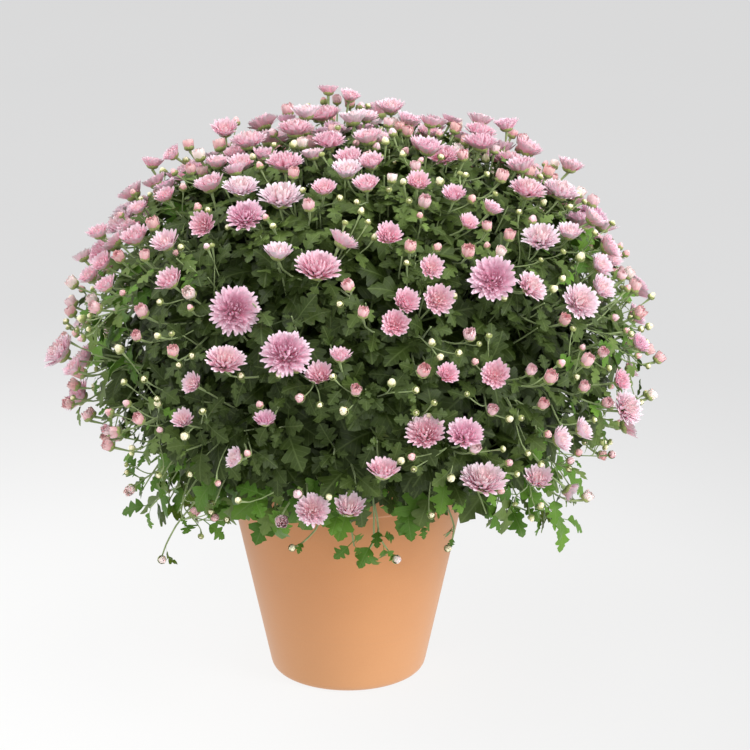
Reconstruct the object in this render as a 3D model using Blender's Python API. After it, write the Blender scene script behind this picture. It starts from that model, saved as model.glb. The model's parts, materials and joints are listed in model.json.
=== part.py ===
"""A pot chrysanthemum: a clay pot of soil, a leafy bush and the bush's sprays of flower heads."""

import itertools
import math
import random

import bmesh
import bpy
from mathutils import Matrix, Vector
from mathutils.bvhtree import BVHTree

MM = 0.001
UP = Vector((0, 0, 1))
GOLDEN = math.pi * (3 - math.sqrt(5))

# The origin is under the middle of the whole plant, which leans this far to the right of its pot and back
PLANT_OFFSET = Vector((9 * MM, 4 * MM, 0))

# Clay pot, turned about its own axis, with its foot at z = 0
POT_HEIGHT = 222 * MM
FOOT_RADIUS = 71.5 * MM
SHOULDER_RADIUS = 110.7 * MM
COLLAR_RADIUS = 114.5 * MM
RIM_RADIUS = 117 * MM
COLLAR_HEIGHT = 35 * MM
POT_WALL = 9 * MM
FLOOR_THICKNESS = 12 * MM
DRAIN_RADIUS = 11 * MM
CLAY_EDGE = 2 * MM
FOOT_ROUNDING = 8 * MM
POT_SIDES = 36
SHARP_ANGLE = math.radians(30)

# Soil, which fills the pot to just under its rim
SOIL_TOP = POT_HEIGHT - 22 * MM
GAP = 0.35 * MM
SOIL_CLEARANCE = 0.525 * MM

# Bush: a dome of flower heads round a centre above the pot
BUSH_CENTRE = Vector((12 * MM, 0, 300 * MM))
BUSH_RADIUS = 268 * MM
BUSH_RISE = 220 * MM
BUSH_DROP = 135 * MM
BUSH_SQUARENESS = 2.1
BLOOM_UNEVENNESS = 9 * MM

# View of the photograph, which places the heads that it shows; pixels are those of its 750 x 750 frame
VIEW_PITCH = math.radians(18.5)
VIEW_DISTANCE = 3.0
VIEW_TARGET = Vector((25 * MM, 0, 286 * MM))
VIEW_CENTRE_PIXEL = 375
PIXEL = 0.917 * MM
RAY_STEP = 2 * MM

# Heads that the photograph shows: x and y in pixels, and width in millimetres
SEEN_HEADS = (
    (326, 110, 32), (330, 96, 20), (347, 96, 20), (353, 119, 27), (295, 129, 34), (266, 122, 30),
    (285, 113, 18), (225, 130, 26), (248, 141, 34), (220, 147, 18), (173, 154, 20), (188, 147, 16),
    (153, 163, 22), (200, 157, 18), (191, 171, 15), (213, 183, 28), (232, 172, 22), (243, 188, 32),
    (285, 163, 34), (292, 177, 16), (279, 195, 40), (246, 216, 33), (309, 207, 16), (324, 189, 22),
    (347, 171, 28), (366, 185, 24), (371, 163, 24), (134, 192, 28), (153, 183, 24), (166, 196, 20),
    (138, 209, 20), (203, 225, 24), (117, 240, 22), (136, 237, 28), (153, 226, 18), (166, 243, 26),
    (103, 263, 22), (120, 258, 16), (90, 276, 22), (145, 257, 15), (170, 281, 26), (105, 288, 22),
    (190, 294, 18), (235, 310, 42), (278, 253, 26), (342, 242, 29), (319, 267, 40), (143, 313, 18),
    (349, 287, 16), (363, 314, 15), (72, 313, 16), (98, 306, 18), (391, 108, 26), (408, 121, 24),
    (437, 122, 22), (428, 148, 28), (463, 157, 16), (418, 183, 22), (424, 203, 18), (454, 195, 22),
    (481, 143, 32), (483, 121, 26), (504, 125, 24), (528, 149, 28), (492, 209, 20), (468, 223, 19),
    (487, 228, 14), (509, 237, 16), (468, 253, 18), (500, 253, 15), (393, 238, 24), (406, 246, 16),
    (431, 268, 22), (493, 279, 40), (531, 287, 30), (541, 238, 34), (528, 190, 34), (561, 191, 34),
    (521, 166, 28), (570, 166, 26), (593, 219, 24), (569, 233, 24), (580, 302, 34), (601, 288, 26),
    (600, 266, 24), (608, 247, 26), (438, 300, 28), (406, 302, 24), (395, 324, 25), (564, 321, 16),
    (638, 314, 18), (634, 288, 18), (470, 336, 17), (495, 375, 26), (424, 372, 18), (446, 374, 20),
    (532, 372, 15), (548, 378, 18), (586, 362, 18), (602, 353, 15), (542, 405, 15), (492, 411, 15),
    (429, 433, 34), (461, 434, 32), (483, 479, 40), (538, 479, 26), (561, 439, 24), (581, 431, 22),
    (626, 405, 32), (621, 384, 20), (606, 403, 15), (583, 388, 15), (475, 451, 15), (383, 471, 28),
    (571, 491, 20), (585, 497, 15), (658, 359, 16), (650, 396, 15), (225, 361, 34), (290, 355, 42),
    (317, 371, 24), (338, 358, 20), (356, 391, 15), (193, 384, 20), (173, 353, 16), (265, 420, 20),
    (183, 420, 20), (140, 420, 16), (236, 458, 20), (312, 510, 30), (349, 508, 28), (281, 521, 18),
    (193, 514, 14), (66, 339, 16), (74, 368, 22), (70, 404, 16), (117, 432, 16), (110, 446, 16),
    (131, 489, 15),
)

# Which way some of them face in the picture: to the right, up and towards the eye
SEEN_FACINGS = {
    (342, 242): (0.5, 0.8, 0.05), (278, 253): (0.05, 0.85, 0.4), (319, 267): (0.1, 0.75, 0.6),
    (235, 310): (0.1, 0.15, 1.0), (290, 355): (0.0, 0.5, 0.85), (225, 361): (0.1, 0.7, 0.6),
    (243, 188): (0.0, 0.85, 0.5), (246, 216): (-0.1, 0.6, 0.75), (203, 225): (-0.3, 0.2, 0.9),
    (170, 281): (-0.45, 0.6, 0.55), (190, 294): (-0.3, 0.4, 0.85), (317, 371): (-0.1, 0.6, 0.75),
    (338, 358): (0.1, 0.85, 0.5), (406, 302): (0.3, 0.4, 0.8), (395, 324): (0.0, 0.2, 1.0),
    (438, 300): (0.2, 0.2, 0.95), (431, 268): (0.2, 0.3, 0.9), (393, 238): (0.1, 0.5, 0.8),
    (493, 279): (0.0, 0.25, 0.95), (531, 287): (0.55, 0.5, 0.6), (541, 238): (0.0, 0.7, 0.7),
    (569, 233): (0.1, 0.8, 0.5), (580, 302): (0.35, 0.4, 0.8), (593, 219): (0.6, 0.6, 0.3),
    (601, 288): (0.6, 0.4, 0.6), (600, 266): (0.55, 0.45, 0.55), (608, 247): (0.8, 0.4, 0.3),
    (495, 375): (0.0, 0.2, 1.0), (429, 433): (-0.1, 0.6, 0.75), (461, 434): (0.1, 0.6, 0.7),
    (483, 479): (0.1, 0.75, 0.6), (538, 479): (0.1, 0.6, 0.7), (383, 471): (0.1, 0.8, 0.55),
    (312, 510): (0.1, 0.35, 0.9), (349, 508): (0.1, 0.7, 0.65), (281, 521): (0.2, -0.1, 0.9),
    (236, 458): (-0.75, 0.3, 0.5), (265, 420): (0.0, 0.7, 0.6), (193, 384): (-0.5, 0.3, 0.7),
    (183, 420): (-0.2, 0.5, 0.8), (626, 405): (0.6, 0.3, 0.7), (326, 110): (-0.2, 0.95, 0.3),
    (295, 129): (0.0, 0.95, 0.3), (248, 141): (-0.1, 0.95, 0.3), (285, 163): (0.0, 0.9, 0.45),
    (279, 195): (0.0, 0.85, 0.55), (481, 143): (0.1, 0.95, 0.35), (528, 190): (0.2, 0.85, 0.5),
    (561, 191): (0.3, 0.85, 0.4), (418, 183): (0.1, 0.6, 0.7), (347, 171): (0.0, 0.8, 0.5),
}

# Heads that it doesn't show, and buds
HEAD_COUNT = 222
HEAD_WIDTHS = (15, 17, 20, 22, 24, 27, 30, 32, 34, 36)
BUD_COUNT = 50
BUD_WIDTHS = (8, 9, 10, 11)
DARTS = 30000
LOWEST_HEAD = -0.34
SEEN_FACING = 0.2
HEAD_SPACING = 1.12
HEAD_CLEARANCE = 1.2 * MM
SPREAD_ROUNDS = 40
PUSH_SHARE = 0.52
FACE_UPWARD = 0.85
FACE_WANDER = 0.3

# Sprays: heads on stalks that meet in one fork
SPRAY_COUNT = 54
GROUPING_ROUNDS = 8
FORK_LEVEL = 0.84
STALK_RADIUS = 1.5 * MM
STALK_ROOT_RADIUS = 0.9 * MM
FORK_RADIUS = 2.7 * MM
FORK_TIP_RADIUS = 1.6 * MM
FORK_TIP_LENGTH = 2.4 * MM
FORK_SIDES = 4
FORK_LENGTH = 14 * MM

# Shapes of heads, widest first: the least width in metres, the number of petal tips, then in half widths of
# the head the tips' radius and rise along its facing, the notches', the crown's, and the heart's rise
FULL_HEAD = (29 * MM, 6, (1.0, 0.12), (0.80, 0.0), (0.56, 0.48), 0.38)
OPEN_HEAD = (19 * MM, 5, (1.0, 0.30), (0.76, 0.10), None, 0.42)
CUP_HEAD = (13 * MM, 4, (0.95, 0.40), (0.90, 0.10), None, 0.40)
NECK_DEPTH = 0.5
BUD_SIDES = 4

# Leafy core of the bush, stems and leaves
CORE_LEVEL = 0.72
CORE_FLOOR = 228 * MM
CORE_SIDES = 14
CORE_LAYERS = 8
STEM_COUNT = 5
STEM_RADIUS = 4.5 * MM
STEM_RING = 34 * MM
STEM_DEPTH = 45 * MM
STEM_TOP = CORE_FLOOR + 25 * MM
STEM_LEAN = 0.5
STEM_TURN = 0.3
STEM_SIDES = 6
LEAF_COUNT = 150
LEAF_LENGTHS = (62 * MM, 84 * MM)
LEAF_THICKNESS = 2.6 * MM
LEAF_ARCH = 0.10
LEAF_ROOT = 13 * MM
LEAF_TRIES = 60
LEAF_STEEPNESS = 0.42
LEAF_WANDER = 0.08
LEAF_OUTWARD = (0.5, 1.1)
LEAF_SPREAD = 0.9
LEAF_DROOP = 0.7
LOWEST_LEAF = -0.62
CLEAR_OF_LEAF = 0.7 * MM

# Half of a lobed leaf's edge from its foot to its tip, in leaf lengths along and across
LEAF_EDGE = ((0.22, 0.06), (0.34, 0.34), (0.50, 0.17), (0.70, 0.34), (0.80, 0.13), (1.0, 0.0))


class Head:
    """A flower head or bud: where its middle is, how wide it is and which way it faces."""

    def __init__(self, place, width):
        self.place = place
        self.width = width
        self.facing = UP


def dome_size(height):
    """The dome's vertical half-axis on the side of its centre that this height is on."""
    return BUSH_DROP if height < 0 else BUSH_RISE


def dome_level(out):
    """How far out a step from the dome's centre reaches, where 1 is on the dome."""
    flat = math.hypot(out.x, out.y) / BUSH_RADIUS
    tall = abs(out.z) / dome_size(out.z)
    return (flat**BUSH_SQUARENESS + tall**BUSH_SQUARENESS) ** (1 / BUSH_SQUARENESS)


def dome_point(direction, level=1.0):
    """The point in a direction from the dome's centre where the dome, or a smaller one in it, is met."""
    return BUSH_CENTRE + direction * (level / dome_level(direction))


def dome_normal(place):
    """The way out of the dome at a place on it."""
    out = place - BUSH_CENTRE
    flat = math.hypot(out.x, out.y)
    tall = dome_size(out.z)
    power = BUSH_SQUARENESS - 1
    rise = math.copysign((abs(out.z) / tall) ** power / tall, out.z)
    spread = (flat / BUSH_RADIUS) ** power / BUSH_RADIUS / max(flat, MM)
    return Vector((out.x * spread, out.y * spread, rise)).normalized()


def view_axes():
    """The eye's place and the picture's right and up."""
    back = Vector((0, -math.cos(VIEW_PITCH), math.sin(VIEW_PITCH)))
    up = Vector((0, math.sin(VIEW_PITCH), math.cos(VIEW_PITCH)))
    return VIEW_TARGET + back * VIEW_DISTANCE, Vector((1, 0, 0)), up


def point_in_picture(x, y, depth):
    """The place that the photograph shows at a pixel, depth behind the dome's skin or its nearest place."""
    eye, right, up = view_axes()
    across = (x - VIEW_CENTRE_PIXEL) * PIXEL
    rise = (VIEW_CENTRE_PIXEL - y) * PIXEL
    ray = (VIEW_TARGET + right * across + up * rise - eye).normalized()
    start = VIEW_DISTANCE - 2 * BUSH_RADIUS
    steps = [start + i * RAY_STEP for i in range(int(3 * BUSH_RADIUS / RAY_STEP))]
    levels = [dome_level(eye + ray * step - BUSH_CENTRE) for step in steps]
    inside = [step for step, level in zip(steps, levels) if level <= 1]
    nearest = inside[0] if inside else steps[levels.index(min(levels))]
    return eye + ray * (nearest + depth)


def random_direction(rng, lowest):
    """A direction whose height is at least lowest, all alike likely."""
    height = rng.uniform(lowest, 1)
    turn = rng.uniform(0, 2 * math.pi)
    flat = math.sqrt(1 - height**2)
    return Vector((flat * math.cos(turn), flat * math.sin(turn), height))


def spiral_direction(i, count, lowest):
    """The i-th of count directions spread evenly from straight up down to lowest."""
    height = 1 - (i + 0.5) / count * (1 - lowest)
    flat = math.sqrt(1 - height**2)
    return Vector((flat * math.cos(GOLDEN * i), flat * math.sin(GOLDEN * i), height))


def clear_of(place, width, heads, spacing):
    """True if a head of this width has room here."""
    return all(
        (place - other.place).length > spacing * (width + other.width) / 2 + HEAD_CLEARANCE
        for other in heads
    )


def scatter(heads, count, widths, spacing, hidden_only, rng):
    """Adds up to count heads at random places of the dome where there is room."""
    eye = view_axes()[0]
    wanted = len(heads) + count
    for _ in range(DARTS):
        if len(heads) == wanted:
            return
        place = dome_point(random_direction(rng, LOWEST_HEAD))
        normal = dome_normal(place)
        if hidden_only and normal.dot((eye - place).normalized()) > SEEN_FACING:
            continue
        place += normal * rng.uniform(-1, 1) * BLOOM_UNEVENNESS
        width = rng.choice(widths) * MM
        if clear_of(place, width, heads, spacing):
            heads.append(Head(place, width))


def push_apart(heads):
    """Moves heads that would meet until each has its own room."""
    for _ in range(SPREAD_ROUNDS):
        moved = False
        for first, second in itertools.combinations(heads, 2):
            apart = second.place - first.place
            short = (first.width + second.width) / 2 + HEAD_CLEARANCE - apart.length
            if short > 0:
                push = apart.normalized() * short * PUSH_SHARE
                first.place -= push
                second.place += push
                moved = True
        if not moved:
            return


def face_as_seen(heads):
    """Turns the heads whose facing the photograph shows."""
    eye, right, up = view_axes()
    toward = (eye - VIEW_TARGET).normalized()
    for (x, y, _), head in zip(SEEN_HEADS, heads):
        if (x, y) in SEEN_FACINGS:
            sideways, upward, nearer = SEEN_FACINGS[x, y]
            head.facing = (right * sideways + up * upward + toward * nearer).normalized()


def grow_heads():
    """Every flower head and bud of the bush, the seen ones first."""
    rng = random.Random(21)
    heads = []
    for x, y, width in SEEN_HEADS:
        heads.append(Head(point_in_picture(x, y, rng.uniform(-1, 1) * BLOOM_UNEVENNESS), width * MM))
    scatter(heads, HEAD_COUNT - len(heads), HEAD_WIDTHS, HEAD_SPACING, True, rng)
    push_apart(heads)
    scatter(heads, BUD_COUNT, BUD_WIDTHS, 1.0, False, rng)
    for head in heads:
        wander = Vector([rng.gauss(0, FACE_WANDER) for _ in range(3)])
        head.facing = (dome_normal(head.place) + UP * FACE_UPWARD + wander).normalized()
    face_as_seen(heads)
    return heads


def group_into_sprays(heads):
    """Centres of the sprays and their heads: each centre moves to the middle of what is nearest it."""
    centres = [spiral_direction(i, SPRAY_COUNT, LOWEST_HEAD) for i in range(SPRAY_COUNT)]
    for _ in range(GROUPING_ROUNDS):
        groups = [[] for _ in centres]
        for head in heads:
            out = (head.place - BUSH_CENTRE).normalized()
            groups[max(range(SPRAY_COUNT), key=lambda i: out.dot(centres[i]))].append(head)
        for i, group in enumerate(groups):
            middle = sum((head.place - BUSH_CENTRE for head in group), Vector())
            centres[i] = middle.normalized() if group else centres[i]
    return [(centre, group) for centre, group in zip(centres, groups) if group]


def material(name, colour, roughness):
    made = bpy.data.materials.new(name)
    made.use_nodes = True
    shader = made.node_tree.nodes["Principled BSDF"]
    shader.inputs["Base Color"].default_value = (*colour, 1)
    shader.inputs["Roughness"].default_value = roughness
    made.diffuse_color = (*colour, 1)
    return made


def mesh_object(name, points, faces, finish=None):
    mesh = bpy.data.meshes.new(name)
    mesh.from_pydata([tuple(p) for p in points], [], faces)
    if finish:
        mesh.materials.append(finish)
    made = bpy.data.objects.new(name, mesh)
    bpy.context.scene.collection.objects.link(made)
    return made


def ring(centre, axis, radius, count, turn=0.0, side=None):
    """Points on a circle, counter-clockwise when seen against the axis. A turn of 0 is at side."""
    side = side or axis.orthogonal().normalized()
    other = axis.cross(side).normalized()
    angles = [turn + 2 * math.pi * i / count for i in range(count)]
    return [centre + (side * math.cos(a) + other * math.sin(a)) * radius for a in angles]


def stitched(rings):
    """Points and faces of a closed body through rings: quads join equal rings, triangles the others."""
    points = [p for points_of_ring in rings for p in points_of_ring]
    starts = [0, *itertools.accumulate(len(r) for r in rings)]
    numbers = [list(range(a, b)) for a, b in zip(starts, starts[1:])]
    faces = []
    if len(numbers[0]) > 2:
        faces.append(tuple(reversed(numbers[0])))
    for low, high in zip(numbers, numbers[1:]):
        if len(low) == len(high):
            faces += [(low[i - 1], low[i], high[i], high[i - 1]) for i in range(len(low))]
            continue
        i = j = 0
        low_steps = len(low) if len(low) > 1 else 0
        high_steps = len(high) if len(high) > 1 else 0
        while i < low_steps or j < high_steps:
            low_next = (i + 1) / low_steps if i < low_steps else 2
            high_next = (j + 1) / high_steps if j < high_steps else 2
            corner_low, corner_high = low[i % len(low)], high[j % len(high)]
            if low_next <= high_next:
                i += 1
                faces.append((corner_low, low[i % len(low)], corner_high))
            else:
                j += 1
                faces.append((corner_low, high[j % len(high)], corner_high))
    if len(numbers[-1]) > 2:
        faces.append(tuple(numbers[-1]))
    return points, faces


def star(centre, axis, half, shape, side):
    """A ring that runs out to petal tips and in to the notches between them."""
    _, tips, (tip_radius, tip_rise), (notch_radius, notch_rise), _, _ = shape
    outer = ring(centre + axis * half * tip_rise, axis, half * tip_radius, tips, 0.0, side)
    inner = ring(centre + axis * half * notch_rise, axis, half * notch_radius, tips, math.pi / tips, side)
    return [p for pair in zip(outer, inner) for p in pair]


def head_rings(head, root, swell):
    """Rings of a head on its stalk, from the stalk's root to the heart of the petals or a bud's tip."""
    half = head.width / 2 + swell
    axis = head.facing
    neck = head.place - axis * half * NECK_DEPTH
    stalk = (neck - root).normalized()
    side = stalk.cross(axis).normalized()
    rings = [
        ring(root, stalk, STALK_ROOT_RADIUS + swell, 3, 0.0, side),
        ring(neck, stalk, STALK_RADIUS + swell, 3, 0.0, side),
    ]
    for shape in (FULL_HEAD, OPEN_HEAD, CUP_HEAD):
        least_width, tips, _, _, crown, heart_rise = shape
        if head.width < least_width:
            continue
        rings.append(star(head.place, axis, half, shape, side))
        if crown:
            middle = head.place + axis * half * crown[1]
            rings.append(ring(middle, axis, half * crown[0], tips, math.pi / tips, side))
        rings.append([head.place + axis * half * heart_rise])
        return rings
    rings.append(ring(head.place, axis, half, BUD_SIDES, 0.0, side))
    rings.append([head.place + axis * half])
    return rings


def foot_on(place, normal, root, direction):
    """The point where a line through root meets the plane of a facet."""
    return root + direction * ((place - root).dot(normal) / direction.dot(normal))


def spray_bodies(centre, group, core, swell=0.0):
    """Closed shapes of one spray: the stem that stands on the core, and the heads on their stalks."""
    fork = dome_point(centre, FORK_LEVEL)
    place, normal, _, _ = core.ray_cast(fork, -centre)
    seat = place + normal * GAP
    top = ring(fork + centre * FORK_TIP_LENGTH, centre, FORK_TIP_RADIUS, FORK_SIDES)
    waist = ring(fork, centre, FORK_RADIUS + swell, FORK_SIDES)
    foot = [foot_on(seat, normal, p, centre) for p in waist]
    bodies = [stitched([foot, waist, top])]
    group = sorted(group, key=lambda head: (head.place - fork).angle(centre))
    for i, head in enumerate(group):
        bodies.append(stitched(head_rings(head, fork - centre * FORK_LENGTH * i / len(group), swell)))
    return bodies


def keep_outer_shell(mesh):
    """Drops all but the largest connected part: the rest are sealed hollows and scraps of the union."""
    shape = bmesh.new()
    shape.from_mesh(mesh)
    unseen = set(shape.verts)
    shells = []
    while unseen:
        shell = []
        waiting = [unseen.pop()]
        while waiting:
            vertex = waiting.pop()
            shell.append(vertex)
            for edge in vertex.link_edges:
                other = edge.other_vert(vertex)
                if other in unseen:
                    unseen.remove(other)
                    waiting.append(other)
        shells.append(shell)
    shells.sort(key=len)
    for shell in shells[:-1]:
        bmesh.ops.delete(shape, geom=shell, context="VERTS")
    shape.to_mesh(mesh)
    shape.free()


def fused(name, bodies, finish):
    """One object of closed shapes that overlap, joined in one Boolean union."""
    pieces = [mesh_object(f"{name}_{i}", *body) for i, body in enumerate(bodies)]
    joined = bpy.data.collections.new(name)
    bpy.context.scene.collection.children.link(joined)
    for piece in pieces[1:]:
        bpy.context.scene.collection.objects.unlink(piece)
        joined.objects.link(piece)
    union = pieces[0].modifiers.new("fuse", "BOOLEAN")
    union.operation = "UNION"
    union.operand_type = "COLLECTION"
    union.collection = joined
    union.solver = "MANIFOLD"
    graph = bpy.context.evaluated_depsgraph_get()
    mesh = bpy.data.meshes.new_from_object(pieces[0].evaluated_get(graph))
    for piece in pieces:
        bpy.data.objects.remove(piece)
    bpy.data.collections.remove(joined)
    keep_outer_shell(mesh)
    mesh.materials.clear()
    mesh.materials.append(finish)
    mesh.name = name
    made = bpy.data.objects.new(name, mesh)
    bpy.context.scene.collection.objects.link(made)
    return made


def turned(profile):
    """Points and faces of a profile of (radius, height) turned about Z, given from its under side out."""
    count = len(profile)
    points = []
    for i in range(POT_SIDES):
        angle = 2 * math.pi * i / POT_SIDES
        points += [Vector((r * math.cos(angle), r * math.sin(angle), z)) for r, z in profile]
    faces = []
    for i, j in itertools.product(range(POT_SIDES), range(count)):
        here, there = i * count, (i + 1) % POT_SIDES * count
        faces.append((here + j, there + j, there + (j + 1) % count, here + (j + 1) % count))
    return points, faces


def outer_radius(height):
    """The radius of the pot's side at a height."""
    slope = (SHOULDER_RADIUS - FOOT_RADIUS) / (POT_HEIGHT - COLLAR_HEIGHT)
    return FOOT_RADIUS + slope * height


def inner_radius(height):
    """The pot's inner radius at a height, its wall being even."""
    return outer_radius(height) - POT_WALL


def pot_profile():
    """Out along the foot, up the side and the collar, over the rim and down inside to the drain hole."""
    ledge = POT_HEIGHT - COLLAR_HEIGHT
    return [
        (DRAIN_RADIUS, 0),
        (FOOT_RADIUS - FOOT_ROUNDING, 0),
        (FOOT_RADIUS - CLAY_EDGE / 2, CLAY_EDGE),
        (outer_radius(FOOT_ROUNDING), FOOT_ROUNDING),
        (SHOULDER_RADIUS, ledge),
        (COLLAR_RADIUS, ledge + CLAY_EDGE),
        (RIM_RADIUS, POT_HEIGHT - CLAY_EDGE),
        (RIM_RADIUS - CLAY_EDGE, POT_HEIGHT),
        (inner_radius(POT_HEIGHT) + CLAY_EDGE, POT_HEIGHT),
        (inner_radius(POT_HEIGHT), POT_HEIGHT - CLAY_EDGE),
        (inner_radius(FLOOR_THICKNESS), FLOOR_THICKNESS),
        (DRAIN_RADIUS, FLOOR_THICKNESS),
    ]


def stem_line(i):
    """Where a stem stands on the soil, and the way in which it leans."""
    turn = 2 * math.pi * (i + STEM_TURN) / STEM_COUNT
    out = Vector((math.cos(turn), math.sin(turn), 0))
    return out * STEM_RING + UP * SOIL_TOP, (UP + out * STEM_LEAN).normalized()


def stem_body(i, radius, sunk):
    """A stem from sunk below the soil's top up into the core."""
    foot, lean = stem_line(i)
    height = (STEM_TOP - SOIL_TOP) / lean.z
    places = (foot - UP * sunk, foot, foot + lean * height)
    return stitched([ring(place, UP, radius, STEM_SIDES) for place in places])


def make_soil(finish):
    """Soil that fills the pot, with a plain hole for each stem."""
    low, high = FLOOR_THICKNESS + GAP, SOIL_TOP
    sides = (POT_SIDES, math.pi / POT_SIDES)
    facet = math.cos(math.pi / POT_SIDES)
    rings = [ring(UP * z, UP, (inner_radius(z) - SOIL_CLEARANCE) * facet, *sides) for z in (low, high)]
    soil = mesh_object("soil", *stitched(rings), finish)
    for i in range(STEM_COUNT):
        hole = mesh_object(f"stem_hole_{i}", *stem_body(i, STEM_RADIUS + GAP, STEM_DEPTH + GAP))
        hole.hide_render = True
        hole.display_type = "WIRE"
        cut = soil.modifiers.new("stem hole", "BOOLEAN")
        cut.operation = "DIFFERENCE"
        cut.object = hole


def core_body():
    """The rounded heart of the bush, flat beneath."""
    rings = []
    for layer in range(CORE_LAYERS + 1):
        tilt = math.pi * (1 - layer / CORE_LAYERS)
        place = dome_point(Vector((math.sin(tilt), 0, math.cos(tilt))), CORE_LEVEL)
        radius = place.x - BUSH_CENTRE.x
        if place.z < CORE_FLOOR:
            continue
        middle = Vector((BUSH_CENTRE.x, BUSH_CENTRE.y, place.z))
        rings.append(ring(middle, UP, radius, CORE_SIDES) if layer < CORE_LAYERS else [middle])
    return stitched(rings)


def leaf_body(root, along, out, length):
    """A lobed leaf: its edge, and a rib on each face that stands clear of the edge's plane."""
    across = out.cross(along).normalized()
    face = along.cross(across)
    edge = [(0.0, 0.0), *LEAF_EDGE, *[(a, -c) for a, c in reversed(LEAF_EDGE[:-1])]]
    outline = [root + (along * a + across * c - face * LEAF_ARCH * abs(c)) * length for a, c in edge]
    rib = root + along * length * 0.5
    upper = rib + face * LEAF_THICKNESS / 2
    lower = rib - face * LEAF_THICKNESS / 2
    points = [lower, *outline, upper]
    count = len(outline)
    faces = []
    for i in range(count):
        here, there = 1 + i, 1 + (i + 1) % count
        faces += [(here, there, 0), (there, here, count + 1)]
    return points, faces


def grow_leaves(core, obstacles):
    """Leaves all over the core, each turned until it misses the sprays, the pot and the other leaves."""
    rng = random.Random(8)
    leaves = []
    others = []
    for i in range(LEAF_COUNT):
        out = spiral_direction(i, LEAF_COUNT, LOWEST_LEAF)
        for _ in range(LEAF_TRIES):
            start = dome_point(out + Vector([rng.uniform(-1, 1) for _ in range(3)]) * LEAF_WANDER)
            place, normal, _, _ = core.ray_cast(start, BUSH_CENTRE - start)
            droop = rng.uniform(0, LEAF_DROOP) * (1 - out.z)
            lean = Vector([rng.uniform(-1, 1) for _ in range(3)]) - UP * droop
            along = (normal * rng.uniform(*LEAF_OUTWARD) + lean * LEAF_SPREAD).normalized()
            if along.dot(normal) < LEAF_STEEPNESS:
                continue
            length = rng.uniform(*LEAF_LENGTHS) + LEAF_ROOT
            leaf = leaf_body(place - along * LEAF_ROOT, along, normal, length)
            tree = BVHTree.FromPolygons(*leaf)
            if not tree.overlap(obstacles) and not any(tree.overlap(other) for other in others):
                leaves.append(leaf)
                others.append(tree)
                break
    return leaves


def merged(bodies):
    """Several meshes as one list of points and one of faces."""
    points, faces = [], []
    for more_points, more_faces in bodies:
        first = len(points)
        points += more_points
        faces += [tuple(first + n for n in face) for face in more_faces]
    return points, faces


def main():
    for old in list(bpy.data.objects):
        bpy.data.objects.remove(old)
    clay = material("terracotta", (0.62, 0.30, 0.16), 0.8)
    earth = material("soil", (0.06, 0.04, 0.03), 1.0)
    leaf_green = material("leaf", (0.05, 0.12, 0.035), 0.6)
    petal_pink = material("petal", (0.80, 0.38, 0.50), 0.6)

    pot = turned(pot_profile())
    shown_pot = mesh_object("pot", *pot, clay)
    shown_pot.data.shade_smooth()
    shown_pot.data.set_sharp_from_angle(angle=SHARP_ANGLE)
    make_soil(earth)

    heads = grow_heads()
    sprays = group_into_sprays(heads)
    core = core_body()
    core_surface = BVHTree.FromPolygons(*core)
    for i, (centre, group) in enumerate(sprays, 1):
        fused(f"spray_{i:02d}", spray_bodies(centre, group, core_surface), petal_pink)

    swollen = []
    for centre, group in sprays:
        swollen += spray_bodies(centre, group, core_surface, CLEAR_OF_LEAF)
    ground_heights = (SOIL_TOP - MM, SOIL_TOP + MM)
    ground = stitched([ring(UP * z, UP, SHOULDER_RADIUS, POT_SIDES) for z in ground_heights])
    obstacles = BVHTree.FromPolygons(*merged([pot, ground, *swollen]))
    stems = [stem_body(i, STEM_RADIUS, STEM_DEPTH) for i in range(STEM_COUNT)]
    fused("foliage", [core, *stems, *grow_leaves(core_surface, obstacles)], leaf_green)
    for made in bpy.data.objects:
        made.data.transform(Matrix.Translation(-PLANT_OFFSET))


main()
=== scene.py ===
"""A pot chrysanthemum in full leaf and flower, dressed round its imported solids."""

import itertools
import json
import math
import random

import bmesh
import bpy
from mathutils import Matrix, Quaternion, Vector
from mathutils.geometry import delaunay_2d_cdt
from mathutils.kdtree import KDTree

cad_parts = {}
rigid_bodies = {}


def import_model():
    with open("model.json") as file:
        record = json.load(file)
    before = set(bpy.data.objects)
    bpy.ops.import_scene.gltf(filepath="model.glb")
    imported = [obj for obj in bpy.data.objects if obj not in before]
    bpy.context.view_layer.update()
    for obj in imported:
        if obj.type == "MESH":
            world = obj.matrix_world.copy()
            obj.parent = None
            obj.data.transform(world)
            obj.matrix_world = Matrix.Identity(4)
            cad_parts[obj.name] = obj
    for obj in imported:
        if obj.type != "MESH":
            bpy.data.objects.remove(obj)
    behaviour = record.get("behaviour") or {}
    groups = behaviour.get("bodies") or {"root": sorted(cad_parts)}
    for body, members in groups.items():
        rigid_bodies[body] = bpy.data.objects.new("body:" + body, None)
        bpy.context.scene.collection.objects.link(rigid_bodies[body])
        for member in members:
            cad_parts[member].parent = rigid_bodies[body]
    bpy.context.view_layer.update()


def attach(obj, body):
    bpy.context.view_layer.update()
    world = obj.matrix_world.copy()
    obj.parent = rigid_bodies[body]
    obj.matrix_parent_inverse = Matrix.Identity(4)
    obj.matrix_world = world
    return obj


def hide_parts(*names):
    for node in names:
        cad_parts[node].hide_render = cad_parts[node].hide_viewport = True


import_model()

MM = 0.001
SAME_PLACE = 1e-6
UP = Vector((0, 0, 1))
GOLDEN = math.pi * (3 - math.sqrt(5))
FULL_TURN = 2 * math.pi

# Fixed seeds, one for each thing that is drawn at random
HEAD_SEED = 21
SMALL_HEAD_SEED = 4
EXTRA_HEAD_SEED = 6
EXTRA_BUD_SEED = 5
BLOOM_SEED = 77
VARIANT_SEED_STEP = 10
LEAF_SEED = 31
HANGING_SEED = 12
SOIL_SEED = 3

# The pot stands a little off the middle of the whole plant
POT_AXIS = Vector((-9 * MM, -4 * MM, 0))

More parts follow.
